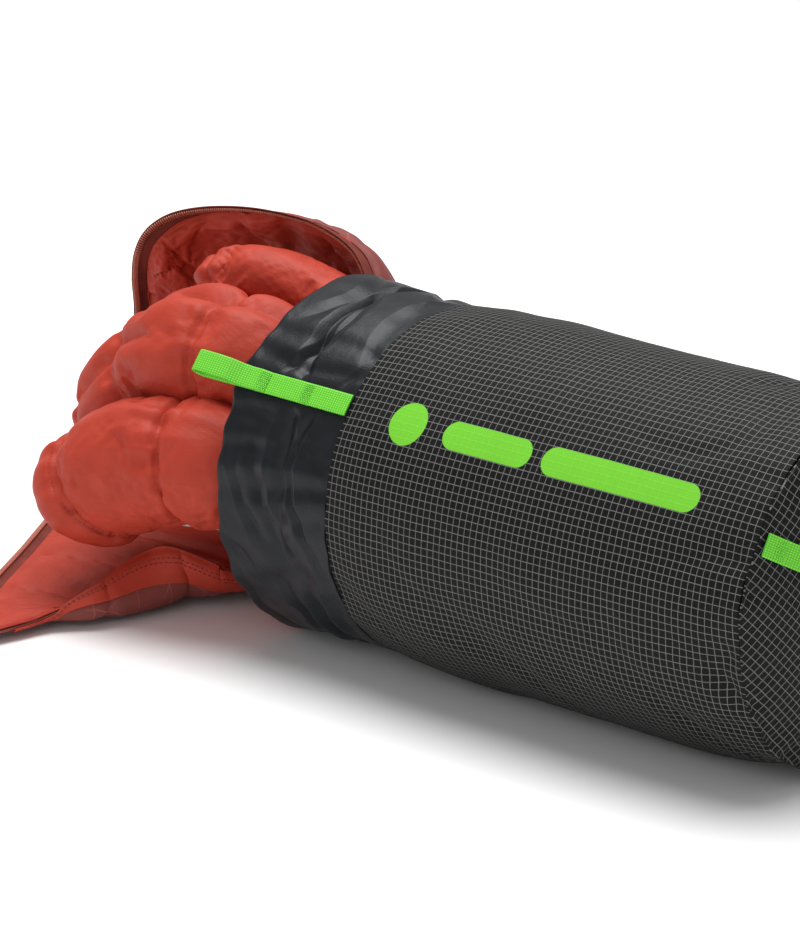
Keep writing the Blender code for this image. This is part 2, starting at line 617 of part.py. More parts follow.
def hem_facing():
    """Plain band sewn on the outer face along the flap's hem."""
    nu, nv = FLAP_GRID
    rows = 14           # it stops where the hem comes down to the floor

    def at(u, v):
        return (1 + u * (rows - 1)) / (nu - 1), 2 * v / (nv - 1)

    def low(u, v):
        return edge_half(FLAP_HALF, *at(u, v)) + 2 * GAP
    slab("hem_facing", lambda u, v: flap_surface(*at(u, v)), rows, 3, low, lambda u, v: low(u, v) + CLOTH,
         "hem_tape")


def main():
    clear_scene()
    build_sack()
    build_pull_strap()
    build_handle()
    build_quilt()
    build_zip()
    build_slider()


main()
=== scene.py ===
"""Looks of the camp quilt half out of its stuff sack: fabric, webbing, zip, floor, light and camera."""

import math

import bmesh
import bpy
import numpy as np
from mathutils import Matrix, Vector


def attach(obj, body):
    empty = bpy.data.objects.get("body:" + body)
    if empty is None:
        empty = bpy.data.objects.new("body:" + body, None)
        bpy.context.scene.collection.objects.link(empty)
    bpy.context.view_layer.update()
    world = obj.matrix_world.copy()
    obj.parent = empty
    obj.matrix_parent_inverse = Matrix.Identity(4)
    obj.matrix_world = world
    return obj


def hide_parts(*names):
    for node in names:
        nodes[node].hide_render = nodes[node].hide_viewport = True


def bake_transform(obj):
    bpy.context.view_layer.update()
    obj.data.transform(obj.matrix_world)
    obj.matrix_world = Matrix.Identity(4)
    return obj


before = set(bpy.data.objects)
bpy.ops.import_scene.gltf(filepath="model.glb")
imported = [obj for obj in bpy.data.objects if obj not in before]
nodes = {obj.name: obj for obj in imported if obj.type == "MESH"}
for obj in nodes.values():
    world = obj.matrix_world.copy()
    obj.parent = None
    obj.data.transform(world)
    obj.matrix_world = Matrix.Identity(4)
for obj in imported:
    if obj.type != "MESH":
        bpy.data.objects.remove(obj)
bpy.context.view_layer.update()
scene = bpy.context.scene

# ---- dimensions of the CAD model, as its own source has them ----
GAP = 0.0003
SACK_R, SACK_Z = 0.0995, 0.098
BODY_LEN, COLLAR_LEN = 0.28, 0.082
SEAM_X, SEAM_W, SEAM_T, HEM_W = -0.001, 0.008, 0.001, 0.012
WALL, BASE_DOME = 0.001, 0.016
WEB_W, WEB_T = 0.0127, 0.0014
STRAP_DEG, HANDLE_DEG = 52.0, 60.0
LOOP_LEN, LOOP_GAP = 0.04, 0.0075
HANDLE_RISE, HANDLE_TAB, TACK_L = 0.02, 0.022, 0.01
CORE_R, CORE_END, CORE_FRONT = 0.0956, 0.272, -0.1
CLOTH = 0.0008
HOOD_HALF, FLAP_HALF, EDGE_HALF = 0.0085, 0.0052, 0.0016
ZIP_TAPE_W, ZIP_TAPE_T, COIL_W, COIL_T = 0.0088, 0.0006, 0.0036, 0.0017
SACK_PROFILE = [
    (-1.0, 0.042), (-0.78, 0.036), (-0.35, 0.018), (-0.05, 0.002), (0.0, 0.0), (0.0143, 0.004), (0.08, 0.022),
    (0.25, 0.03), (0.5, 0.028), (0.75, 0.018), (0.92, 0.0), (0.97, -0.018), (1.0, -0.03)]
ZIP_PATH = [
    (-0.09, 0.036, 0.186), (-0.112, 0.044, 0.204), (-0.14, 0.045, 0.214), (-0.166, 0.04, 0.218),
    (-0.193, 0.035, 0.218), (-0.221, 0.03, 0.214), (-0.24, 0.022, 0.208), (-0.252, 0.015, 0.198),
    (-0.259, 0.012, 0.184), (-0.27, 0.02, 0.164), (-0.287, 0.038, 0.137), (-0.304, 0.052, 0.108),
    (-0.322, 0.057, 0.068), (-0.336, 0.048, 0.028), (-0.334, 0.02, 0.0095), (-0.314, -0.016, 0.0085),
    (-0.286, -0.0615, 0.0085), (-0.262, -0.103, 0.0085), (-0.238, -0.1445, 0.0085), (-0.214, -0.186, 0.0085)]
ZIP_IN = [
    (0.0, 0.9, -0.5), (0.0, 0.9, -0.4), (0.0, 0.9, -0.4), (0.0, 0.9, -0.45),
    (0.05, 0.9, -0.5), (0.2, 0.9, -0.5), (0.4, 0.8, -0.5), (0.5, 0.7, -0.5),
    (0.5, 0.8, -0.3), (0.4, 0.9, -0.1), (0.4, 0.9, 0.1), (0.4, 0.9, 0.15),
    (0.45, 0.85, 0.1), (0.6, 0.7, 0.0), (0.9, 0.35, 0.0), (0.9, 0.4, 0.0),
    (0.86, 0.5, 0.0), (0.86, 0.5, 0.0), (0.86, 0.5, 0.0), (0.86, 0.5, 0.0)]
FLAP_TURN, FLAP_BOW = 0.3, 0.02
HOOD_T = 14 / (len(ZIP_PATH) - 1)
HOOD_BACK = [(-0.088, 0.089, 0.13), (-0.13, 0.112, 0.15), (-0.18, 0.118, 0.155), (-0.23, 0.108, 0.145),
             (-0.265, 0.1, 0.12), (-0.295, 0.094, 0.09), (-0.315, 0.08, 0.04)]
HOOD_FOOT = [(-0.088, 0.07, 0.042), (-0.13, 0.085, 0.016), (-0.18, 0.09, 0.013), (-0.225, 0.085, 0.012),
             (-0.255, 0.078, 0.012), (-0.28, 0.064, 0.012), (-0.3, 0.045, 0.012)]
HEM = [(-0.096, 0.04, 0.013), (-0.128, -0.04, 0.027), (-0.134, -0.05, 0.033), (-0.155, -0.065, 0.042),
       (-0.167, -0.072, 0.038), (-0.173, -0.084, 0.032), (-0.178, -0.107, 0.021), (-0.184, -0.136, 0.011),
       (-0.19, -0.167, 0.0088), (-0.196, -0.198, 0.0085)]
TURN = [(-0.106, 0.064, 0.0085), (-0.136, -0.012, 0.0078), (-0.141, -0.038, 0.0078),
        (-0.144, -0.056, 0.0075), (-0.149, -0.075, 0.0075), (-0.154, -0.09, 0.0075),
        (-0.163, -0.112, 0.0078), (-0.194, -0.139, 0.0085), (-0.198, -0.166, 0.0085),
        (-0.199, -0.193, 0.0085)]
FOLD_UPPER = [(-0.08, -0.02, 0.128), (-0.115, -0.03, 0.148), (-0.15, -0.034, 0.15),
              (-0.185, -0.03, 0.135), (-0.218, -0.024, 0.106), (-0.248, -0.016, 0.072)]
FOLD_FRONT = [(-0.08, -0.052, 0.085), (-0.115, -0.066, 0.098), (-0.155, -0.075, 0.096),
              (-0.193, -0.08, 0.077), (-0.22, -0.08, 0.053)]
FOLD_INNER = [(-0.08, 0.022, 0.16), (-0.12, 0.03, 0.172), (-0.165, 0.024, 0.18), (-0.205, 0.014, 0.172)]

# ---- sizes of the look ----
RIP_CELL, RIP_LINE = 0.0041, 0.00042
YARN_L, YARN_W, YARN_RELIEF = 0.0016, 0.00127, 0.00016
DOT_AT, DOT_R = 0.044, 0.0125
PRINT_BARS, BAR_R = ((0.078, 0.122), (0.146, 0.232)), 0.0082
TACK_RUN, TACK_ROWS, TACK_PITCH = 0.0062, 5, 0.00115
TOOTH_PITCH, ZIP_LAST = 0.0015, 73 / 75
TAPE_RIDGE = 0.00008
THIN, SEWN, FINE = 0.001, 0.0018, 3


# ---- numbers and fields ----
TAU = 2 * math.pi


def angles(count):
    return np.linspace(0, TAU, count, endpoint=False)


def pairs(first, second):
    """Every pair of one value from each list, the second running fastest."""
    return np.stack(np.meshgrid(first, second, indexing="ij"), -1).reshape(-1, 2)


def spline(points, t):
    """Points at the values t (0 to 1) of a smooth curve through evenly spaced points."""
    pts = np.asarray(points, float)
    last = len(pts) - 1
    x = np.clip(np.asarray(t, float), 0, 1) * last
    i = np.minimum(x.astype(int), last - 1)
    f = (x - i).reshape(x.shape + (1,) * (pts.ndim - 1))
    ends = np.concatenate([[2 * pts[0] - pts[1]], pts, [2 * pts[-1] - pts[-2]]])
    p0, p1, p2, p3 = ends[i], ends[i + 1], ends[i + 2], ends[i + 3]
    return 0.5 * (2 * p1 + (p2 - p0) * f + (2 * p0 - 5 * p1 + 4 * p2 - p3) * f ** 2
                  + (3 * p1 - p0 - 3 * p2 + p3) * f ** 3)


def unit(v):
    return v / np.maximum(np.linalg.norm(v, axis=-1, keepdims=True), 1e-12)


def ease(x):
    x = np.clip(x, 0, 1)
    return x * x * (3 - 2 * x)


def bell(x, width):
    return np.exp(-(np.asarray(x) / width) ** 2)


def noise(x, y, seed, wrap=0):
    """Smooth random field, -1 to 1, over x and y counted in cells; wrap is a whole number of cells in y."""
    table = np.random.RandomState(seed).uniform(-1, 1, (97, 97))
    i, j = np.floor(x).astype(int), np.floor(y).astype(int)
    f, g = ease(x - i), ease(y - j)
    n = wrap or 97
    j0, j1 = j % n % 97, (j + 1) % n % 97
    low = table[i % 97, j0] * (1 - g) + table[i % 97, j1] * g
    high = table[(i + 1) % 97, j0] * (1 - g) + table[(i + 1) % 97, j1] * g
    return low * (1 - f) + high * f


def run_lengths(line):
    """Distance run along a line of points, from 0 at its first."""
    return np.concatenate([[0], np.cumsum(np.linalg.norm(np.diff(line, axis=0), axis=1))])


def creases(x, y, seed, wrap=0):
    """Sharp valleys, 0 to 1, where the smooth field crosses zero."""
    return 1 - np.minimum(1, np.abs(noise(x, y, seed, wrap)) * 2.5)


# ---- mesh ----
def normals(p, wrap=False):
    if wrap:
        dv = np.roll(p, -1, axis=1) - np.roll(p, 1, axis=1)
    else:
        dv = np.gradient(p, axis=1)
    return unit(np.cross(np.gradient(p, axis=0), dv))


def lengths(p, axis):
    """Distance run along an axis of a grid of points, taken on its middle line."""
    q = p if axis == 0 else p.transpose(1, 0, 2)
    return run_lengths(q[:, q.shape[1] // 2])


def grid_faces(nu, nv, wrap=False):
    i, j = np.meshgrid(np.arange(nu - 1), np.arange(nv if wrap else nv - 1), indexing="ij")
    k = (j + 1) % nv
    quads = np.stack([i * nv + j, (i + 1) * nv + j, (i + 1) * nv + k, i * nv + k], -1).reshape(-1, 4)
    corners = np.stack([i * (nv + 1) + j, (i + 1) * (nv + 1) + j, (i + 1) * (nv + 1) + j + 1,
                        i * (nv + 1) + j + 1], -1).reshape(-1, 4)
    return quads, corners


def rim_faces(nu, nv, wrap=False):
    n = nu * nv
    out = []
    for i in (0, nu - 1):
        for j in range(nv if wrap else nv - 1):
            k = (j + 1) % nv
            out.append((i * nv + j, i * nv + k, n + i * nv + k, n + i * nv + j))
    if not wrap:
        for j in (0, nv - 1):
            out += [(i * nv + j, (i + 1) * nv + j, n + (i + 1) * nv + j, n + i * nv + j)
                    for i in range(nu - 1)]
    return out


def linked(name, data):
    obj = bpy.data.objects.new(name, data)
    scene.collection.objects.link(obj)
    return obj


def face_outward(mesh):
    work = bmesh.new()
    work.from_mesh(mesh)
    bmesh.ops.recalc_face_normals(work, faces=work.faces)
    work.to_mesh(mesh)
    work.free()


def new_mesh(name, verts, faces, mats, corner_uv=None, mat_index=None):
    """Smooth mesh; a piece whose material reads no UVs gets zeros for them."""
    mesh = bpy.data.meshes.new(name)
    mesh.from_pydata(np.asarray(verts, float).tolist(), [], [tuple(int(i) for i in f) for f in faces])
    layer = mesh.uv_layers.new(name="Cloth")
    if corner_uv is None:
        corner_uv = np.zeros((len(mesh.loops), 2))
    layer.data.foreach_set("uv", np.asarray(corner_uv, np.float32).ravel())
    for mat in mats:
        mesh.materials.append(mat)
    if mat_index is not None:
        mesh.polygons.foreach_set("material_index", np.asarray(mat_index, np.int32))
    face_outward(mesh)
    mesh.polygons.foreach_set("use_smooth", [True] * len(mesh.polygons))
    return linked(name, mesh)


def skin(name, outer, inner, mat, su=None, sv=None, wrap=False, inner_mat=None):
    """Closed skin between two grids of points; wrap joins its last column to its first. UVs are metres."""
    nu, nv = outer.shape[:2]
    su = lengths(outer, 0) if su is None else su
    sv = lengths(outer, 1) if sv is None else sv
    if len(sv) == nv:
        sv = np.append(sv, 2 * sv[-1] - sv[-2])
    uv = pairs(su, sv)
    quads, corners = grid_faces(nu, nv, wrap)
    rim = rim_faces(nu, nv, wrap)
    flat = pairs(su, sv[:nv])
    faces = [*quads, *(quads[:, ::-1] + nu * nv), *rim]
    cuv = np.concatenate([uv[corners].reshape(-1, 2), uv[corners[:, ::-1]].reshape(-1, 2),
                          flat[np.array(rim) % (nu * nv)].reshape(-1, 2)])
    index = [0] * len(quads) + [1 if inner_mat else 0] * len(quads) + [0] * len(rim)
    return new_mesh(name, np.concatenate([outer.reshape(-1, 3), inner.reshape(-1, 3)]), faces,
                    [mat] + ([inner_mat] if inner_mat else []), cuv, index)


def inflate(verts, faces, pinned, pressure, grow, frames, cap):
    """Cloth filled from inside: its seams stay put, and the fabric between them swells and wrinkles."""
    verts = np.asarray(verts, float)
    mesh = bpy.data.meshes.new("cloth_work")
    mesh.from_pydata(verts.tolist(), [], [tuple(int(i) for i in f) for f in faces])
    face_outward(mesh)
    obj = linked("cloth_work", mesh)
    group = obj.vertex_groups.new(name="seams")
    group.add([int(i) for i in np.flatnonzero(pinned)], 1.0, "REPLACE")
    mod = obj.modifiers.new("Cloth", "CLOTH")
    made_of = dict(quality=6, mass=0.15, tension_stiffness=15, compression_stiffness=15, shear_stiffness=5,
                   bending_stiffness=0.05, use_pressure=True, uniform_pressure_force=pressure,
                   vertex_group_mass="seams", shrink_min=-grow)
    for key, value in made_of.items():
        setattr(mod.settings, key, value)
    mod.settings.effector_weights.gravity = 0
    mod.point_cache.frame_start, mod.point_cache.frame_end = 1, frames
    for f in range(1, frames + 1):
        scene.frame_set(f)
    dg = bpy.context.evaluated_depsgraph_get()
    made = obj.evaluated_get(dg).to_mesh()
    out = np.empty(len(made.vertices) * 3)
    made.vertices.foreach_get("co", out)
    obj.evaluated_get(dg).to_mesh_clear()
    bpy.data.objects.remove(obj, do_unlink=True)
    bpy.data.meshes.remove(mesh)
    scene.frame_set(1)
    move = out.reshape(-1, 3) - verts
    size = np.linalg.norm(move, axis=1, keepdims=True)
    return verts + move * np.minimum(1, cap / np.maximum(size, 1e-9))


def finer(p, wrap=False):
    """Grid of points with FINE times as many cells each way, smooth through the old ones."""
    nu, nv = p.shape[:2]
    rows = spline(p, np.linspace(0, 1, (nu - 1) * FINE + 1))
    cols = rows.transpose(1, 0, 2)
    if wrap:
        cols = np.concatenate([cols[-2:], cols, cols[:3]])
        out = spline(cols, np.linspace(0, 1, (len(cols) - 1) * FINE + 1))
        return out[2 * FINE:2 * FINE + nv * FINE].transpose(1, 0, 2)
    return spline(cols, np.linspace(0, 1, (nv - 1) * FINE + 1)).transpose(1, 0, 2)


def stand_for(obj, node, body):
    """Put a piece in the place of a CAD node, on its body."""
    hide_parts(node)
    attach(obj, body)


# ---- materials ----
class Shade:
    """A Principled material with short names for the nodes it uses."""

    def __init__(self, name, **sockets):
        self.mat = bpy.data.materials.new(name)
        self.mat.use_nodes = True
        self.tree = self.mat.node_tree
        self.shader = self.tree.nodes["Principled BSDF"]
        for key, value in sockets.items():
            self.shader.inputs[key.replace("_", " ")].default_value = value
        self.coords = self.tree.nodes.new("ShaderNodeTexCoord")
        self.uv = self.tree.nodes.new("ShaderNodeUVMap")
        self.uv.uv_map = "Cloth"
        self.split = self.tree.nodes.new("ShaderNodeSeparateXYZ")
        self.link(self.uv.outputs[0], self.split.inputs[0])
        self.u, self.v = self.split.outputs[0], self.split.outputs[1]

    def link(self, a, b):
        if hasattr(a, "is_output"):
            self.tree.links.new(a, b)
        else:
            b.default_value = a

    def math(self, op, a, b=0.0):
        n = self.tree.nodes.new("ShaderNodeMath")
        n.operation = op
        self.link(a, n.inputs[0])
        self.link(b, n.inputs[1])
        return n.outputs[0]

    def noise(self, scale, detail=2.0, solid=False):
        """Noise over the cloth, or through the space of the piece when solid."""
        n = self.tree.nodes.new("ShaderNodeTexNoise")
        n.inputs["Scale"].default_value = scale
        n.inputs["Detail"].default_value = detail
        self.link(self.coords.outputs["Object"] if solid else self.uv.outputs[0], n.inputs["Vector"])
        return n.outputs[0]

    def mix(self, factor, a, b):
        n = self.tree.nodes.new("ShaderNodeMix")
        n.data_type = "RGBA"
        self.link(factor, n.inputs[0])
        self.link((*a, 1.0) if isinstance(a, tuple) else a, n.inputs[6])
        self.link((*b, 1.0) if isinstance(b, tuple) else b, n.inputs[7])
        return n.outputs[2]

    def span(self, value, low, high, to_low=0.0, to_high=1.0):
        n = self.tree.nodes.new("ShaderNodeMapRange")
        self.link(value, n.inputs[0])
        for i, x in enumerate((low, high, to_low, to_high)):
            n.inputs[i + 1].default_value = x
        return n.outputs[0]

    def lines(self, value, pitch, width, shift=0.0):
        """1 on lines of that width and pitch across value, in metres, 0 between them."""
        x = self.math("PINGPONG", self.math("ADD", self.math("DIVIDE", value, pitch), shift), 0.5)
        return self.span(x, 0.5 - width / pitch * 0.65, 0.5 - width / pitch * 0.35)

    def turned(self, degrees):
        """The cloth's own coordinate along a line at that angle."""
        a = math.radians(degrees)
        return self.math("ADD", self.math("MULTIPLY", self.u, math.cos(a)),
                         self.math("MULTIPLY", self.v, math.sin(a)))

    def colour(self, value):
        self.link(value, self.shader.inputs["Base Color"])

    def bump(self, height, distance):
        n = self.tree.nodes.new("ShaderNodeBump")
        n.inputs["Distance"].default_value = distance
        self.link(height, n.inputs["Height"])
        self.link(n.outputs[0], self.shader.inputs["Normal"])


def capsule(s, u0, u1, v0, radius):
    """1 inside a bar with round ends, along the sack from u0 to u1."""
    over = s.math("SUBTRACT", s.math("ABSOLUTE", s.math("SUBTRACT", s.u, (u0 + u1) / 2)), (u1 - u0) / 2)
    over = s.math("MAXIMUM", over, 0.0)
    side = s.math("SUBTRACT", s.v, v0)
    far = s.math("SQRT", s.math("ADD", s.math("MULTIPLY", over, over), s.math("MULTIPLY", side, side)))
    return s.span(far, radius, radius - 0.0003)


def ripstop(name, grid_turn=0.0, printed=False):
    """Dark cloth under a grid of pale threads, with the green print where printed."""
    s = Shade(name, Roughness=0.62, Specular_IOR_Level=0.12)
    a, b = (s.turned(grid_turn), s.turned(grid_turn + 90)) if grid_turn else (s.u, s.v)
    mask = s.math("MAXIMUM", s.lines(a, RIP_CELL, RIP_LINE), s.lines(b, RIP_CELL, RIP_LINE))
    thread = s.span(s.noise(1500, 1), 0.3, 0.7, 0.55, 1.0)
    cloth = s.mix(s.noise(900, 2), (0.005, 0.0046, 0.005), (0.01, 0.0094, 0.0098))
    paint = s.mix(s.math("MULTIPLY", mask, thread), cloth, (0.21, 0.21, 0.2))
    if printed:
        v0 = SACK_R * math.radians(STRAP_DEG + 1)
        mark = capsule(s, DOT_AT, DOT_AT, v0, DOT_R)
        for u0, u1 in PRINT_BARS:
            mark = s.math("MAXIMUM", mark, capsule(s, u0, u1, v0, BAR_R))
        ink = s.mix(mask, (0.17, 0.56, 0.035), (0.2, 0.64, 0.05))
        paint = s.mix(mark, paint, ink)
    s.colour(paint)
    s.bump(s.math("ADD", mask, s.math("MULTIPLY", s.noise(1100, 2), 0.5)), 0.00012)
    return s.mat


def nylon(name, dark, light, rough, bump=0.0001, detail=700, spec=0.4, crinkle=0.0):
    """Plain woven cloth; crinkle adds wide soft wrinkles to its bump."""
    s = Shade(name, Roughness=rough, Specular_IOR_Level=spec)
    s.colour(s.mix(s.span(s.noise(60, 3), 0.3, 0.7), dark, light))
    grid = s.math("MAXIMUM", s.lines(s.u, 0.0016, 0.0003), s.lines(s.v, 0.0016, 0.0003))
    height = s.math("ADD", s.math("MULTIPLY", grid, 0.12), s.noise(detail, 2))
    if crinkle:
        height = s.math("ADD", height, s.math("MULTIPLY", s.noise(85, 3), crinkle))
    s.bump(height, bump)
    return s.mat


def lattice(name):
    """Shell cloth printed with broken lines in three directions."""
    s = Shade(name, Roughness=0.6, Specular_IOR_Level=0.25)
    lines = None
    for k, turn in enumerate((12, 72, 132)):
        one = s.lines(s.turned(turn), 0.024, 0.0005, 0.25 * k)
        keep = s.span(s.noise(26 + 5 * k, 1), 0.46, 0.54)
        one = s.math("MULTIPLY", one, keep)
        lines = one if lines is None else s.math("MAXIMUM", lines, one)
    cloth = s.mix(s.noise(120, 3), (0.185, 0.04, 0.034), (0.235, 0.055, 0.046))
    s.colour(s.mix(s.math("MULTIPLY", lines, 0.55), cloth, (0.43, 0.13, 0.095)))
    s.bump(s.noise(800, 2), 0.00008)
    return s.mat


def webbing_paint(name, dark, light):
    s = Shade(name, Roughness=0.62)
    rows = s.math("PINGPONG", s.math("DIVIDE", s.u, YARN_L), 0.5)
    cols = s.math("PINGPONG", s.math("DIVIDE", s.v, YARN_W), 0.5)
    # The dark colour goes in the valleys between the yarns as painted shade; the yarn tops take the light
    # colour.
    yarn = s.math("MULTIPLY", s.span(rows, 0.05, 0.3), s.span(cols, 0.05, 0.28))
    yarn = s.math("MULTIPLY", yarn, s.span(s.noise(900, 1), 0.25, 0.75, 0.75, 1.0))
    s.colour(s.mix(yarn, dark, light))
    s.bump(s.noise(2500, 1), 0.00006)
    return s.mat


def plain(name, dark, light, rough, scale=300, metallic=0.0, bump=0.00005):
    s = Shade(name, Roughness=rough, Metallic=metallic)
    s.colour(s.mix(s.span(s.noise(scale, 3, solid=True), 0.3, 0.7), dark, light))
    s.bump(s.noise(scale * 3, 2, solid=True), bump)
    return s.mat


BODY = ripstop("ripstop_printed", printed=True)
BODY_IN = nylon("ripstop_coating", (0.02, 0.019, 0.02), (0.032, 0.031, 0.032), 0.45)
BASE = ripstop("ripstop_base", 45)
COLLAR = nylon("collar_nylon_cloth", (0.0065, 0.0075, 0.0095), (0.011, 0.0125, 0.0155), 0.38, 0.00008,
               spec=0.22, crinkle=7.0)
LINING = nylon("red_lining_cloth", (0.385, 0.036, 0.018), (0.455, 0.048, 0.025), 0.56, spec=0.22,
               crinkle=14.0)
SHELL = lattice("printed_shell_cloth")
FACING = nylon("hem_facing_cloth", (0.4, 0.039, 0.02), (0.46, 0.05, 0.027), 0.58, spec=0.2)
# The dark green is painted shade for the gaps between the yarns.
WEB = webbing_paint("lime_webbing_weave_gap_shade", (0.07, 0.44, 0.012), (0.24, 0.76, 0.045))
THREAD = plain("tack_thread", (0.12, 0.6, 0.025), (0.22, 0.76, 0.05), 0.6, 900)
TAPE = nylon("zip_tape_weave", (0.13, 0.022, 0.015), (0.2, 0.038, 0.026), 0.75, 0.0002, 1500, 0.2)
COIL = plain("zip_coil_nylon", (0.42, 0.12, 0.075), (0.54, 0.17, 0.11), 0.35, 600)
METAL = plain("slider_paint", (0.045, 0.042, 0.042), (0.07, 0.066, 0.064), 0.32, 500, 1.0)
FILL = plain("fill_batting", (0.7, 0.69, 0.67), (0.82, 0.81, 0.79), 0.95, 200, 0.0, 0.0006)
STITCH = plain("seam_thread", (0.19, 0.024, 0.016), (0.26, 0.036, 0.024), 0.7, 900)


# ---- sack ----
def profile_x(share):
    return share * (COLLAR_LEN if share < 0 else BODY_LEN)


PROFILE_X = [profile_x(f) for f, _ in SACK_PROFILE]
PROFILE_G = [g for _, g in SACK_PROFILE]


def clear_of(angle, degrees, half):
    """0 at the angle where webbing lies, 1 away from it."""
    off = np.abs((np.degrees(angle) - degrees + 180) % 360 - 180)
    return ease((off - half) / half)


def body_relief(x, a):
    """How far the body's fabric stands off its smooth form."""
    arc = a / TAU
    base = BODY_LEN - x
    pucker = noise(0.5, arc * 54, 3, 54) + 0.5 * noise(0.5, arc * 97, 4, 97)
    d = 0.0016 * pucker * np.exp(-base / 0.008)
    d += 0.0016 * noise(x / 0.045, arc * 34, 5, 34) * np.exp(-base / 0.035)
    drawn = creases(x / 0.06 + 1.6 * np.sin(TAU * arc + 0.6), arc * 13, 6, 13)
    d -= 0.0034 * drawn * np.exp(-base / 0.05) * ease(base / 0.008)
    d += 0.0007 * noise(0.5, arc * 60, 7, 60) * np.exp(-np.maximum(x, 0) / 0.008)
    d += 0.001 * noise(x / 0.055, arc * 12, 8, 12) + 0.0005 * noise(x / 0.02, arc * 30, 9, 30)
    side = np.exp(-((np.degrees(a) - 118) / 26) ** 2)
    d -= 0.0012 * side * creases(x / 0.05 - arc * 9, arc * 16, 10, 16)
    return d


PLEATS = [  # angle at the mouth, at the seam (degrees from the top towards the front), width, depth
    (-22, -19, 5, 0.001), (9, 12, 4, 0.0012), (31, 34, 3.0, 0.0018), (41, 43, 2.2, 0.0014),
    (64, 66, 2.4, 0.0018), (74, 71, 3.0, 0.0024), (86, 82, 3.6, 0.003), (99, 90, 4.0, 0.0036),
    (112, 100, 4.2, 0.0036), (127, 109, 4.5, 0.003), (143, 121, 5.0, 0.0022), (215, 218, 6, 0.0018),
    (238, 240, 5, 0.0022), (262, 258, 6, 0.0022), (290, 292, 5, 0.002), (318, 316, 5, 0.0016)]


def collar_relief(x, a):
    """How far the collar's fabric stands off its smooth form."""
    arc = a / TAU
    m = np.clip(-x / COLLAR_LEN, 0, 1)
    deg = np.degrees(a)
    d = 0.001 * noise(x / 0.03, arc * 14, 11, 14) + 0.0005 * noise(x / 0.018, arc * 40, 12, 40)
    d *= 0.35 + 0.65 * m
    for k, (at_mouth, at_seam, width, depth) in enumerate(PLEATS):
        middle = at_seam + (at_mouth - at_seam) * m + 1.6 * np.sin(m * 5 + k * 1.7)
        off = (deg - middle + 180) % 360 - 180
        wide = width * (0.7 + 0.6 * m)
        depth = depth * (0.3 + 0.7 * m)
        d -= 0.75 * depth * bell(off, wide)
        d += 0.25 * depth * (bell(off - 2.0 * wide, wide) + bell(off + 2.0 * wide, wide))
    sway = np.sin(TAU * arc * 3 + 0.8)
    middle = np.sin(math.pi * np.clip(m, 0.04, 0.98)) ** 0.6
    d -= 0.0042 * middle * creases(x / 0.026 + 0.35 * sway, arc * 5, 14, 5)
    d -= 0.0026 * middle * creases(x / 0.022 - 0.8 * sway, arc * 8, 15, 8)
    d += 0.0006 * noise(0.5, arc * 60, 7, 60) * np.exp(x / 0.008)
    roll = np.clip((-x - COLLAR_LEN + 0.0035) / 0.0035, 0, 1)
    d -= 0.0022 * roll ** 2
    return d


def sack_grid(xs, segments, relief, inset=0.0):
    """Points of the sack's wall, resting flat on the floor and smooth under the webbing."""
    a = angles(segments)
    x, ang = np.meshgrid(xs, a, indexing="ij")
    smooth = SACK_R * (1 + np.interp(x, PROFILE_X, PROFILE_G))
    d = relief(x, ang)
    strap = np.where(x < 0.004, clear_of(ang, STRAP_DEG, 4.2), 1.0)
    ends = clear_of(ang, HANDLE_DEG, 4.5) * clear_of(ang, HANDLE_DEG + 180, 4.5)
    handle = np.where(x > BODY_LEN - 0.012, ends, 1.0)
    d = np.minimum(d, 0) * (0.25 + 0.75 * strap) + np.maximum(d, 0) * strap * handle
    r = smooth + d - inset
    floor = 0.0006 + inset + 0.0004 * (1 + noise(x / 0.03, ang * 6, 13))
    z = SACK_Z + r * np.cos(ang)
    z = np.where(z < floor, floor, z)
    return np.stack([x, -r * np.sin(ang), z], -1)


def arc_uv(segments):
    return np.linspace(0, TAU * SACK_R, segments + 1)


def build_sack():
    """Body, collar, base and the seam allowances inside."""
    near_seam = np.linspace(SEAM_X + GAP / 2, 0.012, 18)[:-1]
    xs = np.concatenate([near_seam, np.linspace(0.012, BODY_LEN, 235)])
    seg = 380
    wall = skin("sack_body_cloth", sack_grid(xs, seg, body_relief), sack_grid(xs, seg, body_relief, WALL),
                BODY, xs, arc_uv(seg), True, BODY_IN)
    xc = np.linspace(-COLLAR_LEN, SEAM_X - GAP / 2, 150)
    seg = 520
    collar = skin("sack_collar_cloth", sack_grid(xc, seg, collar_relief),
                  sack_grid(xc, seg, collar_relief, WALL), COLLAR, xc, arc_uv(seg), True)

    def band(name, low, high, relief, mat, node, count):
        x = np.linspace(low, high, count)
        outer = sack_grid(x, 260, relief, WALL + GAP)
        inner = sack_grid(x, 260, relief, WALL + GAP + SEAM_T)
        obj = skin(name, outer, inner, mat, x, arc_uv(260), True)
        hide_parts(node)
        return obj

    def both(x, a):
        return np.where(x < SEAM_X, collar_relief(x, a), body_relief(x, a))
    half = SEAM_W / 2
    low = BODY_LEN - SEAM_W
    mouth = -COLLAR_LEN
    seams = [band("collar_seam_binding", SEAM_X - half, SEAM_X + half, both, BODY_IN, "collar_seam", 16),
             band("base_seam_binding", low, BODY_LEN - 0.0005, body_relief, BODY_IN, "base_seam", 14),
             band("mouth_hem_turned", mouth, mouth + HEM_W, collar_relief, COLLAR, "mouth_hem", 22)]
    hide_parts("sack_body")
    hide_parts("sack_collar")
    base = base_panel()
    for obj, slot in ((wall, "ripstop_black"), (collar, "collar_nylon"), (base, "ripstop_black")):
        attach(obj, "sack")
    for obj in seams:
        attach(obj, "sack")


def base_x(rho):
    return BODY_LEN + GAP + WALL + BASE_DOME * (1 - rho ** 2.4)


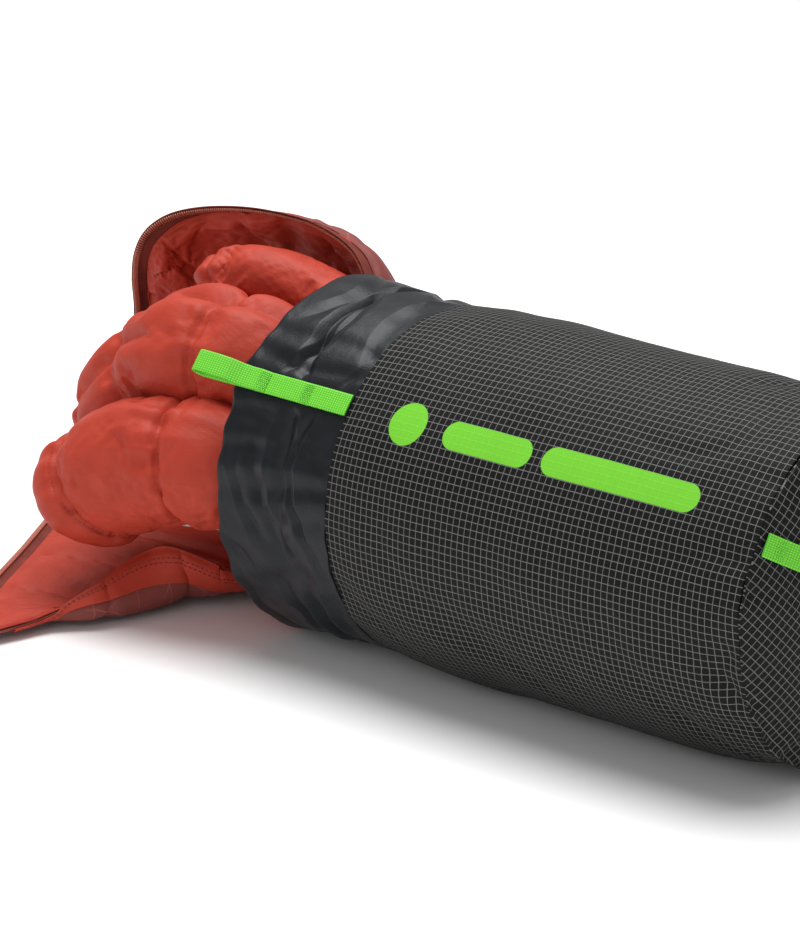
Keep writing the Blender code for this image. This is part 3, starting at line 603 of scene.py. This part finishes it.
def base_panel():
    """Domed disc: its rim follows the body's end, and its UVs are its own y and z."""
    seg, steps = 300, 90
    a = angles(seg)
    rho, ang = np.meshgrid(np.linspace(0.004, 1, steps), a, indexing="ij")
    rim = sack_grid(np.array([BODY_LEN]), seg, body_relief)[0]
    arc = ang / TAU
    hold = clear_of(ang, HANDLE_DEG, 7) * clear_of(ang, HANDLE_DEG + 180, 7)
    centre = np.array([BODY_LEN, 0.0, SACK_Z])
    p = centre + (rim[None] - centre) * rho[..., None]
    edge = np.exp(-(1 - rho) / 0.09)
    d = 0.0016 * noise(0.5, arc * 54, 3, 54) * edge * hold
    d -= 0.003 * creases(rho * 1.4, arc * 21, 21, 21) * edge * ease((1 - rho) / 0.03) * hold
    soft = noise(p[..., 1] / 0.03 + 50, p[..., 2] / 0.03 + 50, 22)
    d += 0.0009 * soft * (1 - edge) * hold * ease(rho / 0.2)
    p[..., 0] = base_x(rho) + np.minimum(d, 0) + np.maximum(d, 0) * hold
    inner = p - np.array([WALL, 0, 0])
    obj = skin("sack_base_cloth", p, inner, BASE, wrap=True)
    mesh = obj.data
    index = np.empty(len(mesh.loops), np.int32)
    mesh.loops.foreach_get("vertex_index", index)
    co = np.empty(len(mesh.vertices) * 3)
    mesh.vertices.foreach_get("co", co)
    mesh.uv_layers["Cloth"].data.foreach_set("uv", co.reshape(-1, 3)[index][:, 1:].astype(np.float32).ravel())
    close_hole(obj, steps, seg)
    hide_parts("sack_base")
    return obj


def close_hole(obj, nu, nv):
    """Take away the small rim round the middle of a polar grid and close both faces there."""
    work = bmesh.new()
    work.from_mesh(obj.data)
    work.verts.ensure_lookup_table()
    first, second = work.verts[:nv], work.verts[nu * nv:nu * nv + nv]
    gone = [f for f in work.faces if all(v.index < nv or nu * nv <= v.index < nu * nv + nv for v in f.verts)]
    bmesh.ops.delete(work, geom=gone, context="FACES_ONLY")
    work.faces.new(first)
    work.faces.new(second)
    bmesh.ops.recalc_face_normals(work, faces=work.faces)
    work.to_mesh(obj.data)
    work.free()


# ---- webbing ----
def weave(name, line, side, up):
    """Webbing along a line of points: ribbed yarns on both faces, and rounded selvedges."""
    s = run_lengths(line)
    w = np.linspace(-0.5, 0.5, 31) * WEB_W
    rib = np.abs(np.sin(math.pi * s / YARN_L))[:, None]
    yarn = rib * np.abs(np.sin(math.pi * (w + WEB_W) / YARN_W))
    edge = np.sqrt(np.clip(1 - (np.abs(w) / (WEB_W / 2)) ** 8, 0, 1))
    half = (WEB_T / 2 - YARN_RELIEF * (1 - yarn)) * (0.35 + 0.65 * edge)
    flat = line[:, None] + side * w[None, :, None]
    rise = up[:, None] * half[..., None]
    return skin(name, flat + rise, flat - rise, WEB, s, w + WEB_W)


def along(path):
    """Even samples of a list of points, 0.35 mm apart."""
    path = np.asarray(path, float)
    s = run_lengths(path)
    even = np.linspace(0, s[-1], int(s[-1] / 0.00035))
    return np.stack([np.interp(even, s, path[:, k]) for k in range(path.shape[1])], -1)


STRAP_OUT = np.array([0.0, -math.sin(math.radians(STRAP_DEG)), math.cos(math.radians(STRAP_DEG))])
STRAP_SIDE = np.array([0.0, -math.cos(math.radians(STRAP_DEG)), -math.sin(math.radians(STRAP_DEG))])


def strap_line(x, lift):
    """Points of the strap's middle at each x, lifted off the sack's smooth form."""
    r = SACK_R * (1 + np.interp(x, PROFILE_X, PROFILE_G)) + lift
    return np.array([0.0, 0.0, SACK_Z]) + np.outer(r, STRAP_OUT) + np.outer(x, [1.0, 0, 0])


def strap_piece(name, path):
    pts = along(path)
    line = strap_line(pts[:, 0], pts[:, 1])
    run = unit(np.gradient(line, axis=0))
    return weave(name, line, STRAP_SIDE, unit(np.cross(run, STRAP_SIDE)))


def thread_block(name, place):
    """Bar tack: rows of thread laid side by side, each a small raised bar."""
    verts, faces = [], []
    width = WEB_W - 0.0012
    for k in range(TACK_ROWS):
        s = -TACK_RUN / 2 + TACK_RUN * (k + 0.5) / TACK_ROWS
        for i in range(int(width / TACK_PITCH)):
            w = -width / 2 + (i + 0.5) * TACK_PITCH
            slant = 0.00045 * (1 if i % 2 else -1)
            n = len(verts)
            for ds, h in ((-0.0005, 0.0), (-0.0003, 0.00028), (0.0003, 0.00028), (0.0005, 0.0)):
                verts.append(place(s + ds + slant, w - TACK_PITCH * 0.42, h))
                verts.append(place(s + ds - slant, w + TACK_PITCH * 0.42, h))
            faces += [(n, n + 1, n + 3, n + 2), (n + 2, n + 3, n + 5, n + 4), (n + 4, n + 5, n + 7, n + 6),
                      (n, n + 2, n + 4, n + 6), (n + 1, n + 7, n + 5, n + 3), (n, n + 6, n + 7, n + 1)]
    return new_mesh(name, verts, faces, [THREAD])


def build_pull_strap():
    """Strap along the collar, its two tacks, and the loop whose end is sewn under the second one."""
    seat = 0.0005 + WEB_T / 2
    end = 0.014 - COLLAR_LEN
    tacks = (("tack_seam", -0.036), ("tack_mouth", end + 0.001))
    xs = np.linspace(-0.004, end, 60)
    dip = sum(0.00035 * bell(xs - x - TACK_L / 2, 0.004) for _, x in tacks)
    xs[0] = SEAM_X - 0.0002
    strap = strap_piece("pull_strap_webbing", np.stack([xs, seat - dip], -1))
    stand_for(strap, "pull_strap", "sack")
    for label, x in tacks:
        mid = x + TACK_L / 2
        lift = WEB_T + GAP if label == "tack_mouth" else 0.0

        def place(s, w, h, mid=mid, lift=lift):
            over_end = lift * min(1.0, max(0.0, 0.5 - s / 0.006))
            top = seat + WEB_T / 2 + h - 0.00015 + over_end
            return strap_line(mid + s, top)[0] + STRAP_SIDE * w
        stand_for(thread_block(f"{label}_thread", place), label, "sack")
    root = end - GAP
    tip = root - LOOP_LEN
    bend = (LOOP_GAP + WEB_T) / 2
    upper = seat + WEB_T + GAP
    path = [(root, seat), (root - 0.006, seat), (root - 0.014, seat), (root - 0.026, seat + 0.0004),
            (tip + bend, seat + 0.0008)]
    for k in range(1, 16):
        turn = math.pi * k / 16
        path.append((tip + bend - bend * math.sin(turn), seat + 0.0008 + bend - bend * math.cos(turn)))
    path += [(tip + bend, seat + 0.0008 + 2 * bend), (root - 0.024, seat + 2 * bend),
             (root - 0.016, seat + 1.55 * bend), (root - 0.009, seat + WEB_T + 0.0016),
             (root - 0.004, upper), (root, upper), (root + 0.003, upper),
             (root + 0.006, (seat + upper) / 2), (root + 0.009, seat - 0.0002)]
    loop = strap_piece("pull_loop_webbing", path)
    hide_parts("pull_loop")
    a, b = strap_line(root, seat)[0], strap_line(root - 0.005, seat)[0]
    tuple(a)
    tuple(b)
    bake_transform(loop)


def panel_lift(s):
    """Height of the base panel above the body's end, along the handle."""
    return base_x(np.minimum(1.0, np.abs(s) / (SACK_R - 0.0025))) - BODY_LEN


HANDLE_EDGE = SACK_R - 0.006
HANDLE_ROOT = HANDLE_EDGE - HANDLE_TAB


def handle_lift(s):
    """Height of the handle's underside: flat on its sewn ends, arched between them."""
    stand = 0.0006 + 0.0034 * np.maximum(0.0, 1 - np.maximum(0.0, np.abs(s) - HANDLE_ROOT) / HANDLE_TAB) ** 2
    f = np.maximum(0.0, 1 - (np.abs(s) / HANDLE_ROOT) ** 2)
    return panel_lift(s) + stand + (HANDLE_RISE - 0.004) * f ** 0.8


def handle_piece(name, low, high):
    s = np.linspace(low, high, int(abs(high - low) / 0.0004))
    a = math.radians(HANDLE_DEG)
    run = np.array([0.0, math.sin(a), -math.cos(a)])
    side = np.array([0.0, math.cos(a), math.sin(a)])
    lift = handle_lift(s)
    slope = np.gradient(lift, s)
    lift = lift + WEB_T / 2 * np.sqrt(1 + np.minimum(slope ** 2, 4.0))
    line = np.array([BODY_LEN, 0.0, SACK_Z]) + np.outer(s, run) + np.outer(lift, [1.0, 0, 0])
    tangent = unit(np.gradient(line, axis=0))
    return weave(name, line, side, unit(np.cross(tangent, side))), run, side


def build_handle():
    """Two sewn ends with their tacks, and the free arch in two halves that meet in the middle."""
    for label, sign in (("front", -1), ("back", 1)):
        end, run, side = handle_piece(f"handle_end_{label}_webbing", sign * (HANDLE_ROOT + GAP),
                                      sign * HANDLE_EDGE)
        stand_for(end, f"handle_end_{label}", "sack")
        mid = sign * (HANDLE_EDGE - 0.004 - TACK_L / 2)

        def place(s, w, h):
            at = mid + s
            lift = float(handle_lift(np.array(at))) + WEB_T * 1.02 + h
            return np.array([BODY_LEN + lift, 0.0, SACK_Z]) + run * at + side * w
        tack = thread_block(f"handle_tack_{label}_thread", place)
        stand_for(tack, f"handle_tack_{label}", "sack")
        half, _, _ = handle_piece(f"base_handle_webbing_{label}", sign * HANDLE_ROOT, sign * 0.0001)
        if label == "front":
            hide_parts("base_handle")
        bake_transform(half)


# ---- quilt ----
def edge_half(half, u, v):
    """Half thickness of the padding, thin at its four edges and towards its last end."""
    near = np.minimum(1.0, np.minimum(v / 0.12, (1 - v) / 0.12))
    ends = np.minimum(1.0, np.minimum(u / 0.04, (1 - u) / 0.04))
    soft = np.sin(np.maximum(0.0, np.minimum(near, 0.35 + 0.65 * ends)) * math.pi / 2)
    late = np.minimum(1.0, np.maximum(0.0, (u - 0.55) / 0.3))
    return EDGE_HALF + (half - EDGE_HALF) * soft * (1 - 0.7 * late * late * (3 - 2 * late))


def zip_frame(t):
    """Points of the zip's edge, the direction into the quilt, and the direction off its face."""
    here = spline(ZIP_PATH, t)
    run = unit(spline(ZIP_PATH, np.minimum(1.0, t + 0.004)) - spline(ZIP_PATH, np.maximum(0.0, t - 0.004)))
    inward = spline(ZIP_IN, t)
    inward = unit(inward - run * np.sum(inward * run, -1, keepdims=True))
    return here, inward, unit(np.cross(run, inward))


def hood_surface(u, v):
    here, inward, _ = zip_frame(u * HOOD_T)
    edge = here + inward * (ZIP_TAPE_W + 2 * GAP)
    back, foot = spline(HOOD_BACK, u), spline(HOOD_FOOT, u)
    near = edge + inward * 0.022
    v = v[..., None]
    return edge * (1 - v) ** 3 + near * 3 * v * (1 - v) ** 2 + back * 3 * v ** 2 * (1 - v) + foot * v ** 3


def flap_section(u, v):
    hem, turn = spline(HEM, u), spline(TURN, u)
    f = np.clip(v / FLAP_TURN, 0, 1)[..., None]
    bow = unit(np.array([0.5, -0.5, -0.2])) * 0.004 * np.sin(math.pi * f) * (1 - u[..., None])
    stand = hem + (turn - hem) * f + bow
    here, inward, _ = zip_frame(HOOD_T + (1 - HOOD_T) * (0.16 + 0.84 * u))
    back = here + inward * (ZIP_TAPE_W + 2 * GAP)
    g = np.clip((v - FLAP_TURN) / (1 - FLAP_TURN), 0, 1)[..., None]
    sag = np.sin(math.pi * g) * (1 - u[..., None]) ** 4
    floor = turn + (back - turn) * g + np.array([0, FLAP_BOW, 0]) * sag
    return np.where((v < FLAP_TURN)[..., None], stand, floor)


def flap_surface(u, v):
    reach = np.minimum(0.15, np.minimum(v, 1 - v))
    return sum(flap_section(u, v + reach * k / 3) for k in range(-3, 4)) / 7


def quilted(d, reach):
    """Share of a puff's height at a distance d from the nearest seam."""
    x = np.clip(d / reach, 0, 1)
    return np.sqrt(1 - (1 - x) ** 2)


def seam_distance(su, sv, seams):
    """Distance to the nearest seam; a seam gives its su at each sv."""
    d = np.full(np.broadcast(su, sv).shape, 1.0)
    for seam in seams:
        d = np.minimum(d, np.abs(su - seam(sv)))
    return d


def padded_slab(name, surface, grid, half, seams, lining_side, sim=None, outer_share=0.5, fill_from=0.0):
    """Lining, fill and shell of one stretch: quilted, swollen by a cloth run if sim, then cut into skins."""
    nu, nv = grid
    u, v = np.meshgrid(np.linspace(0, 1, nu), np.linspace(0, 1, nv), indexing="ij")
    p = surface(u, v)
    n = normals(p) * lining_side
    su, sv = lengths(p, 0)[:, None] + 0 * v, lengths(p, 1)[None] + 0 * u
    d = seam_distance(su, sv, seams)
    rim = np.minimum(np.minimum(u, 1 - u) / 0.03, np.minimum(v, 1 - v) / 0.05)
    full = THIN + (edge_half(half, u, v) - THIN) * ease(rim)
    thick = np.minimum(SEWN + (full - SEWN) * quilted(d, 0.016), full)
    outer = outer_share + (1 - outer_share) * ease((v - 0.25) / 0.4)
    low, high = p - n * np.maximum(thick * outer, THIN)[..., None], p + n * thick[..., None]
    if sim:
        count = nu * nv
        quads, _ = grid_faces(nu, nv)
        faces = [*quads, *(quads[:, ::-1] + count), *rim_faces(nu, nv)]
        edge = (u == 0) | (u == 1) | (v == 0) | (v == 1)
        pin = (edge | (d < 0.0016)).ravel()
        out = inflate(np.concatenate([high.reshape(-1, 3), low.reshape(-1, 3)]), faces,
                      np.concatenate([pin, pin]), **sim)
        high = out[:count].reshape(nu, nv, 3)
        low = low + (out[count:].reshape(nu, nv, 3) - low) * (outer ** 2)[..., None]
    high, low = finer(high), finer(low)
    fine = finer(np.stack([su, sv, u, v], -1))
    su, sv, u, v = (fine[..., c] for c in range(4))
    d = seam_distance(su, sv, seams)
    rim = ease(np.minimum(np.minimum(u, 1 - u) / 0.02, np.minimum(v, 1 - v) / 0.03))
    gather = (0.0011 * noise(d / 0.03, sv / 0.007, 31) * np.exp(-d / 0.012)
              + 0.0004 * noise(su / 0.016, sv / 0.011, 32) * ease(d / 0.01)
              - 0.0007 * bell(d, 0.0011)) * (0.3 + 0.7 * rim)
    edge_gather = noise(su / 0.006, sv / 0.05, 33) * np.exp(-sv / 0.01)
    rise_high = normals(high) * lining_side
    rise_low = -normals(low) * lining_side
    high = high + rise_high * (gather + 0.0006 * edge_gather * (v > 0))[..., None]
    low = low + rise_low * (gather * 0.7)[..., None]
    rim_u, rim_v = su[:, 0], sv[0]
    lining = skin(f"{name}_lining_cloth", high, high - rise_high * CLOTH, LINING, rim_u, rim_v)
    shell = skin(f"{name}_shell_cloth", low, low - rise_low * CLOTH, SHELL, rim_u, rim_v)
    mid, span = (high + low) / 2, (high - low) / 2
    size = np.linalg.norm(span, axis=-1, keepdims=True)
    inner = span / size * np.maximum(size - CLOTH - 0.0012, 0.00005)
    inset = 3 * FINE
    start = max(inset, int(fill_from * span.shape[1]))
    cut = (slice(inset, -inset, FINE), slice(start, -inset, FINE))
    fill = skin(f"{name}_fill_batting", (mid + inner)[cut], (mid - inner)[cut], FILL)
    stand_for(lining, f"{name}_lining", "quilt")
    stand_for(fill, f"{name}_fill", "quilt")
    stand_for(shell, f"{name}_shell", "quilt")
    return lining, fill, shell, high, low


def tube_piece(node, path, radii, seams, seed, sim, grid=(52, 60), extra=()):
    """Fat fold along a path, closed by its own rounded end and quilted by seams round it.

    Each extra crease has an angle, how far it sways, where it starts and ends, and its depth.
    """
    name = f"{node}_cloth"
    nu, nv = grid
    t = np.linspace(0, 1, nu)
    here = spline(path, t)
    run = unit(spline(path, np.minimum(1, t + 0.01)) - spline(path, np.maximum(0, t - 0.01)))
    side = unit(np.cross(np.array([0, 0, 1.0]), run))
    up = np.cross(run, side)
    far = np.sqrt(np.maximum(0.0, 1 - np.maximum(0.0, (t - 0.8) / 0.2) ** 2.2))
    near = np.minimum(1.0, 0.55 + 0.45 * np.sin(np.minimum(1.0, t / 0.3) * math.pi / 2))
    size = np.maximum(0.03, far * near)
    a = angles(nv)
    s = run_lengths(here)
    ss, aa = np.meshgrid(s, a, indexing="ij")
    d = seam_distance(ss / s[-1], aa, seams) * s[-1]
    swell = 1 - 0.17 * (1 - quilted(d, 0.018))
    r = size[:, None] * swell
    for at, sway, first, last, depth in extra:
        off = (aa - at - sway * np.sin(3.1 * ss / s[-1] + at) + math.pi) % TAU - math.pi
        span = ease((ss / s[-1] - first) / 0.12) * ease((last - ss / s[-1]) / 0.12)
        shoulders = bell(off - 0.42, 0.22) + bell(off + 0.42, 0.22)
        r = r * (1 - depth * span * (bell(off, 0.16) - 0.35 * shoulders))
    p = (here[:, None] + side[:, None] * (radii[0] * r * np.cos(aa))[..., None]
         + up[:, None] * (radii[1] * r * np.sin(aa))[..., None])
    quads, _ = grid_faces(nu, nv, True)
    ends = [tuple(range(nv)), tuple((nu - 1) * nv + j for j in reversed(range(nv)))]
    pin = (d < 0.0019) | (ss == 0) | (ss == s[-1])
    p = inflate(p.reshape(-1, 3), [*quads, *ends], pin.ravel(), **sim).reshape(nu, nv, 3)
    p = finer(p, True)
    mu, mv = p.shape[:2]
    ss, aa = np.meshgrid(np.linspace(0, s[-1], mu), angles(mv), indexing="ij")
    d = seam_distance(ss / s[-1], aa, seams) * s[-1]
    mean = (radii[0] + radii[1]) / 2
    n = normals(p, True)
    if np.mean(np.sum(n * (p - p.mean(axis=1, keepdims=True)), -1)) < 0:
        n = -n
    turns = int(TAU * mean / 0.008)
    arc = aa / TAU
    gather = 0.0021 * noise(d / 0.05, arc * turns, seed, turns) * np.exp(-d / 0.017)
    gather += 0.0004 * noise(ss / 0.03, arc * turns, seed + 1, turns) * ease(d / 0.01)
    gather += 0.002 * noise(ss / 0.045, arc * 6, seed + 2, 6)
    gather -= 0.001 * bell(d, 0.0011)
    p = p + n * gather[..., None]
    p[..., 2] = np.maximum(p[..., 2], 0.001)
    obj = tube_mesh(name, p, np.linspace(0, s[-1], mu), np.append(aa[0], TAU) * mean)
    stand_for(obj, node, "quilt")
    cols = np.arange(mv)
    for k, seam in enumerate(seams):
        rows = np.clip(np.round(seam(aa[0]) * (mu - 1)).astype(int), 1, mu - 2)
        stitch_row(f"{name}_stitches_{k + 1}", p[rows, cols], n[rows, cols], 0.0032, 0.002, 0.00028)
    return obj


def tube_mesh(name, p, su, sv):
    """Lining cloth round a grid of rings, closed by a flat face at each end."""
    nu, nv = p.shape[:2]
    quads, corners = grid_faces(nu, nv, True)
    uv = pairs(su, sv)
    first, last = list(range(nv)), [(nu - 1) * nv + j for j in range(nv)]
    flat = pairs(su, sv[:nv])
    cuv = np.concatenate([uv[corners].reshape(-1, 2), flat[first], flat[last]])
    return new_mesh(name, p.reshape(-1, 3), [*quads, first, last], [LINING], cuv)


def ring_seam(t, sway, phase):
    return lambda a: t + sway * np.sin(a + phase)


def line_seam(at, sway, length):
    return lambda s: at + sway * np.sin(s / length * TAU)


def build_quilt():
    sim = dict(pressure=3.0, grow=0.035, frames=18, cap=0.006)
    hood_seams = [line_seam(x, 0.004, 0.12) for x in (0.052, 0.104, 0.156, 0.208, 0.26, 0.312, 0.364)]
    hood = padded_slab("hood", hood_surface, (84, 46), HOOD_HALF, hood_seams, 1, sim)
    flap_seams = [line_seam(x, 0.003, 0.1) for x in (0.056, 0.112, 0.168)]
    flap = padded_slab("flap", flap_surface, (72, 70), FLAP_HALF, flap_seams, -1, None, 1.0, 0.52)
    upper_seams = [ring_seam(0.3, 0.02, 1.0), ring_seam(0.6, 0.03, 2.2), ring_seam(0.84, 0.02, 0.4)]
    upper = tube_piece("fold_upper", FOLD_UPPER, (0.039, 0.035), upper_seams, 41, sim,
                       extra=((2.5, 0.5, 0.0, 0.55, 0.22), (1.3, 0.4, 0.05, 0.5, 0.16),
                              (3.4, 0.5, 0.3, 0.95, 0.18), (0.3, 0.3, 0.35, 0.9, 0.12),
                              (3.0, 0.2, -0.1, 0.32, 0.16)))
    front_seams = [ring_seam(0.36, 0.03, 0.2), ring_seam(0.76, 0.03, 0.8)]
    front = tube_piece("fold_front", FOLD_FRONT, (0.037, 0.037), front_seams, 51, sim,
                       extra=((2.3, 0.4, 0.0, 0.42, 0.2), (3.6, 0.5, 0.0, 0.35, 0.14),
                              (2.9, 0.4, 0.5, 0.95, 0.14), (4.2, 0.3, 0.55, 0.9, 0.12)))
    inner = tube_piece("fold_inner", FOLD_INNER, (0.022, 0.019), [ring_seam(0.86, 0.02, 0.5)], 61, sim,
                       (44, 44))
    core = core_piece()
    for obj in (*hood[:3], *flap[:3]):
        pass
    hem_band(flap[3], flap[4])
    build_zip()


def core_piece():
    """The quilt still stuffed in the sack: rolled folds under their own baffles."""
    nu, nv = 220, 260
    x = np.linspace(CORE_FRONT, CORE_END, nu)
    a = angles(nv)
    xx, aa = np.meshgrid(x, a, indexing="ij")
    front, back = np.clip((xx - CORE_FRONT) / 0.022, 0, 1), np.clip((CORE_END - xx) / 0.024, 0, 1)
    r = CORE_R - 0.034 * (1 - np.sqrt(1 - (1 - front) ** 2)) - 0.03 * (1 - np.sqrt(1 - (1 - back) ** 2))
    arc = aa / TAU
    seam = np.abs((xx + 0.0175 * noise(xx / 0.08, arc * 6, 71, 6) + 0.012) % 0.052 - 0.026)
    fold = creases(xx / 0.11 + 0.5 * np.sin(TAU * arc + 0.9), arc * 5, 72, 5)
    r = r - 0.0045 * (1 - quilted(seam, 0.018)) - 0.005 * fold ** 2
    r = r - 0.0012 * (1 + noise(seam / 0.03, arc * 84, 73, 84)) * np.exp(-seam / 0.012)
    r = r - 0.0007 * (1 + noise(xx / 0.02, arc * 60, 74, 60))
    z = np.maximum(SACK_Z + r * np.cos(aa), WALL + 2 * GAP + SEAM_T + 0.0006)
    p = np.stack([xx, -r * np.sin(aa), z], -1)
    obj = tube_mesh("quilt_core_cloth", p, x, np.append(a, TAU) * CORE_R)
    stand_for(obj, "quilt_core", "quilt")
    return obj


def bead_faces(n):
    """Closed bead of five rings of six points, the first of which is point n."""
    faces = []
    for k in range(4):
        for c in range(6):
            a, b = n + k * 6 + c, n + k * 6 + (c + 1) % 6
            faces.append((a, b, b + 6, a + 6))
    return faces + [tuple(n + c for c in reversed(range(6))), tuple(n + 24 + c for c in range(6))]


def stitch_row(name, points, up, pitch=0.003, length=0.0021, thick=0.00045):
    """Row of single stitches along a line of points, each a small raised bar on the cloth."""
    s = run_lengths(points)
    verts, faces = [], []

    def at_run(values, where):
        return np.array([np.interp(where, s, values[:, c]) for c in range(3)])
    for at in np.arange(pitch / 2, s[-1] - pitch / 2, pitch):
        ends = [at_run(points, at + k * length / 2) for k in (-1, 1)]
        rise = unit(at_run(up, at))
        run = unit(ends[1] - ends[0])
        side = np.cross(run, rise)
        faces += bead_faces(len(verts))
        for k in range(5):
            f = k / 4
            centre = ends[0] + (ends[1] - ends[0]) * f
            r = thick * (0.25 + 0.75 * math.sin(math.pi * f))
            for c in range(6):
                ang = TAU * c / 6
                verts.append(centre + side * r * math.cos(ang) + rise * r * (math.sin(ang) + 0.2))
    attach(new_mesh(name, verts, faces, [STITCH]), "quilt")


def hem_band(lining, shell):
    """Plain facing on the shell along the hem, with two rows of stitches on it."""
    nu, nv = shell.shape[:2]
    rise = normals(shell)
    probe = nu // 3, nv // 8
    if np.sum(rise[probe] * (shell - lining)[probe]) < 0:
        rise = -rise
    first, last = int(nu / 21), int(nu * 18 / 21)
    cols = int(nv * 2.2 / 12)
    u, v = slice(first, last), slice(1, cols)
    cloth = shell[u, v] + rise[u, v] * 0.0004
    band = skin("hem_facing_cloth", cloth + rise[u, v] * CLOTH, cloth, FACING)
    stand_for(band, "hem_facing", "quilt")
    for label, col in (("outer", int(cols * 0.34)), ("inner", int(cols * 0.44))):
        pts = shell[first:last, col] + rise[first:last, col] * (0.0004 + CLOTH)
        stitch_row(f"hem_stitches_{label}", pts, rise[first:last, col])


def build_zip():
    t = np.linspace(0, 1, 900)
    here, inward, face = zip_frame(t)
    w = np.linspace(0, ZIP_TAPE_W + 0.0036, 17)
    flat = here[:, None] + inward[:, None] * w[None, :, None]
    ridge = TAPE_RIDGE * np.abs(np.sin(np.arange(len(t))[:, None] * 1.3 + w[None] * 4000))
    half = (ZIP_TAPE_T / 2 - TAPE_RIDGE + ridge) * np.where(w > ZIP_TAPE_W, 0.4, 1.0)[None]
    rise = face[:, None] * half[..., None]
    stand_for(skin("zip_tape_cloth", flat + rise, flat - rise, TAPE), "zip_tape", "quilt")
    pts = here + inward * (COIL_W + 0.0016) + face * ZIP_TAPE_T / 2
    stitch_row("zip_tape_stitches", pts[::2], face[::2], 0.0026, 0.0018, 0.0003)
    teeth()


def teeth():
    """Coil of the half zip: one loop of monofilament for each tooth."""
    t = np.linspace(0, ZIP_LAST, 4000)
    s = run_lengths(zip_frame(t)[0])
    count = int(s[-1] / TOOTH_PITCH)
    t = np.interp(np.linspace(0, s[-1], count), s, t)
    here, inward, face = zip_frame(t)
    run = np.cross(inward, face)
    low = ZIP_TAPE_T / 2 + 2 * GAP
    # Each ring's place across the tape, and its half height and width as shares.
    rings = [(0.0002, 0.35, 0.55), (0.0008, 0.5, 1.0), (0.0018, 0.5, 0.9), (0.0028, 0.48, 0.8),
             (0.0036, 0.55, 0.45)]
    verts, faces = [], []
    for i in range(count):
        faces += bead_faces(len(verts))
        for w, high, wide in rings:
            centre = here[i] + inward[i] * w + face[i] * (low + COIL_T * 0.5)
            for c in range(6):
                a = TAU * c / 6
                verts.append(centre + run[i] * math.cos(a) * TOOTH_PITCH * 0.26 * wide
                             + face[i] * math.sin(a) * COIL_T * high)
    stand_for(new_mesh("zip_coil_teeth", verts, faces, [COIL]), "zip_coil", "quilt")


def finish_cad():
    """Materials of the CAD pieces that stay in view."""
    for name, mat in (("zip_stop", COIL), ("zip_slider", METAL), ("pull_tab", METAL)):
        nodes[name].data.materials.clear()
        nodes[name].data.materials.append(mat)


# ---- room ----
def build_stage():
    floor = bpy.data.meshes.new("studio_floor")
    floor.from_pydata([(-9, -9, 0), (9, -9, 0), (9, 9, 0), (-9, 9, 0)], [], [(0, 1, 2, 3)])
    obj = linked("studio_floor", floor)
    white = Shade("floor_white", Roughness=0.9, Specular_IOR_Level=0.1)
    white.colour(white.mix(white.noise(3, 1, solid=True), (0.93, 0.93, 0.93), (0.96, 0.96, 0.96)))
    floor.materials.append(white.mat)
    world = bpy.data.worlds.new("studio")
    world.use_nodes = True
    world.node_tree.nodes["Background"].inputs[0].default_value = (1, 1, 1, 1)
    world.node_tree.nodes["Background"].inputs[1].default_value = 0.38
    scene.world = world
    for name, place, size, power in (("top", (-0.25, 0.35, 1.3), 1.0, 9.0),
                                     ("front", (0.7, -1.8, 1.0), 1.3, 6.0)):
        light = bpy.data.lights.new(name, "AREA")
        light.energy, light.size = power, size
        lamp = linked(name, light)
        lamp.location = place
        aim = Vector((0.0, 0.0, 0.08)) - Vector(place)
        lamp.rotation_euler = aim.to_track_quat("-Z", "Y").to_euler()
    sky = bpy.data.lights.new("overhead", "SUN")
    sky.energy, sky.angle = 2.4, math.radians(44)
    lamp = linked("overhead", sky)
    lamp.rotation_euler = Vector((0.15, -0.1, -1.0)).to_track_quat("-Z", "Y").to_euler()
    scene.view_settings.view_transform = "Standard"
    camera = bpy.data.cameras.new("camera")
    camera.lens, camera.sensor_width = 160.67, 36.0
    rig = linked("camera", camera)
    rig.location = (1.49535, -1.70006, 0.82017)
    aim = Vector((-0.0354, 0.0, 0.0945)) - rig.location
    rig.rotation_euler = aim.to_track_quat("-Z", "Y").to_euler()
    scene.camera = rig


build_sack()
build_pull_strap()
build_handle()
build_quilt()
finish_cad()
build_stage()
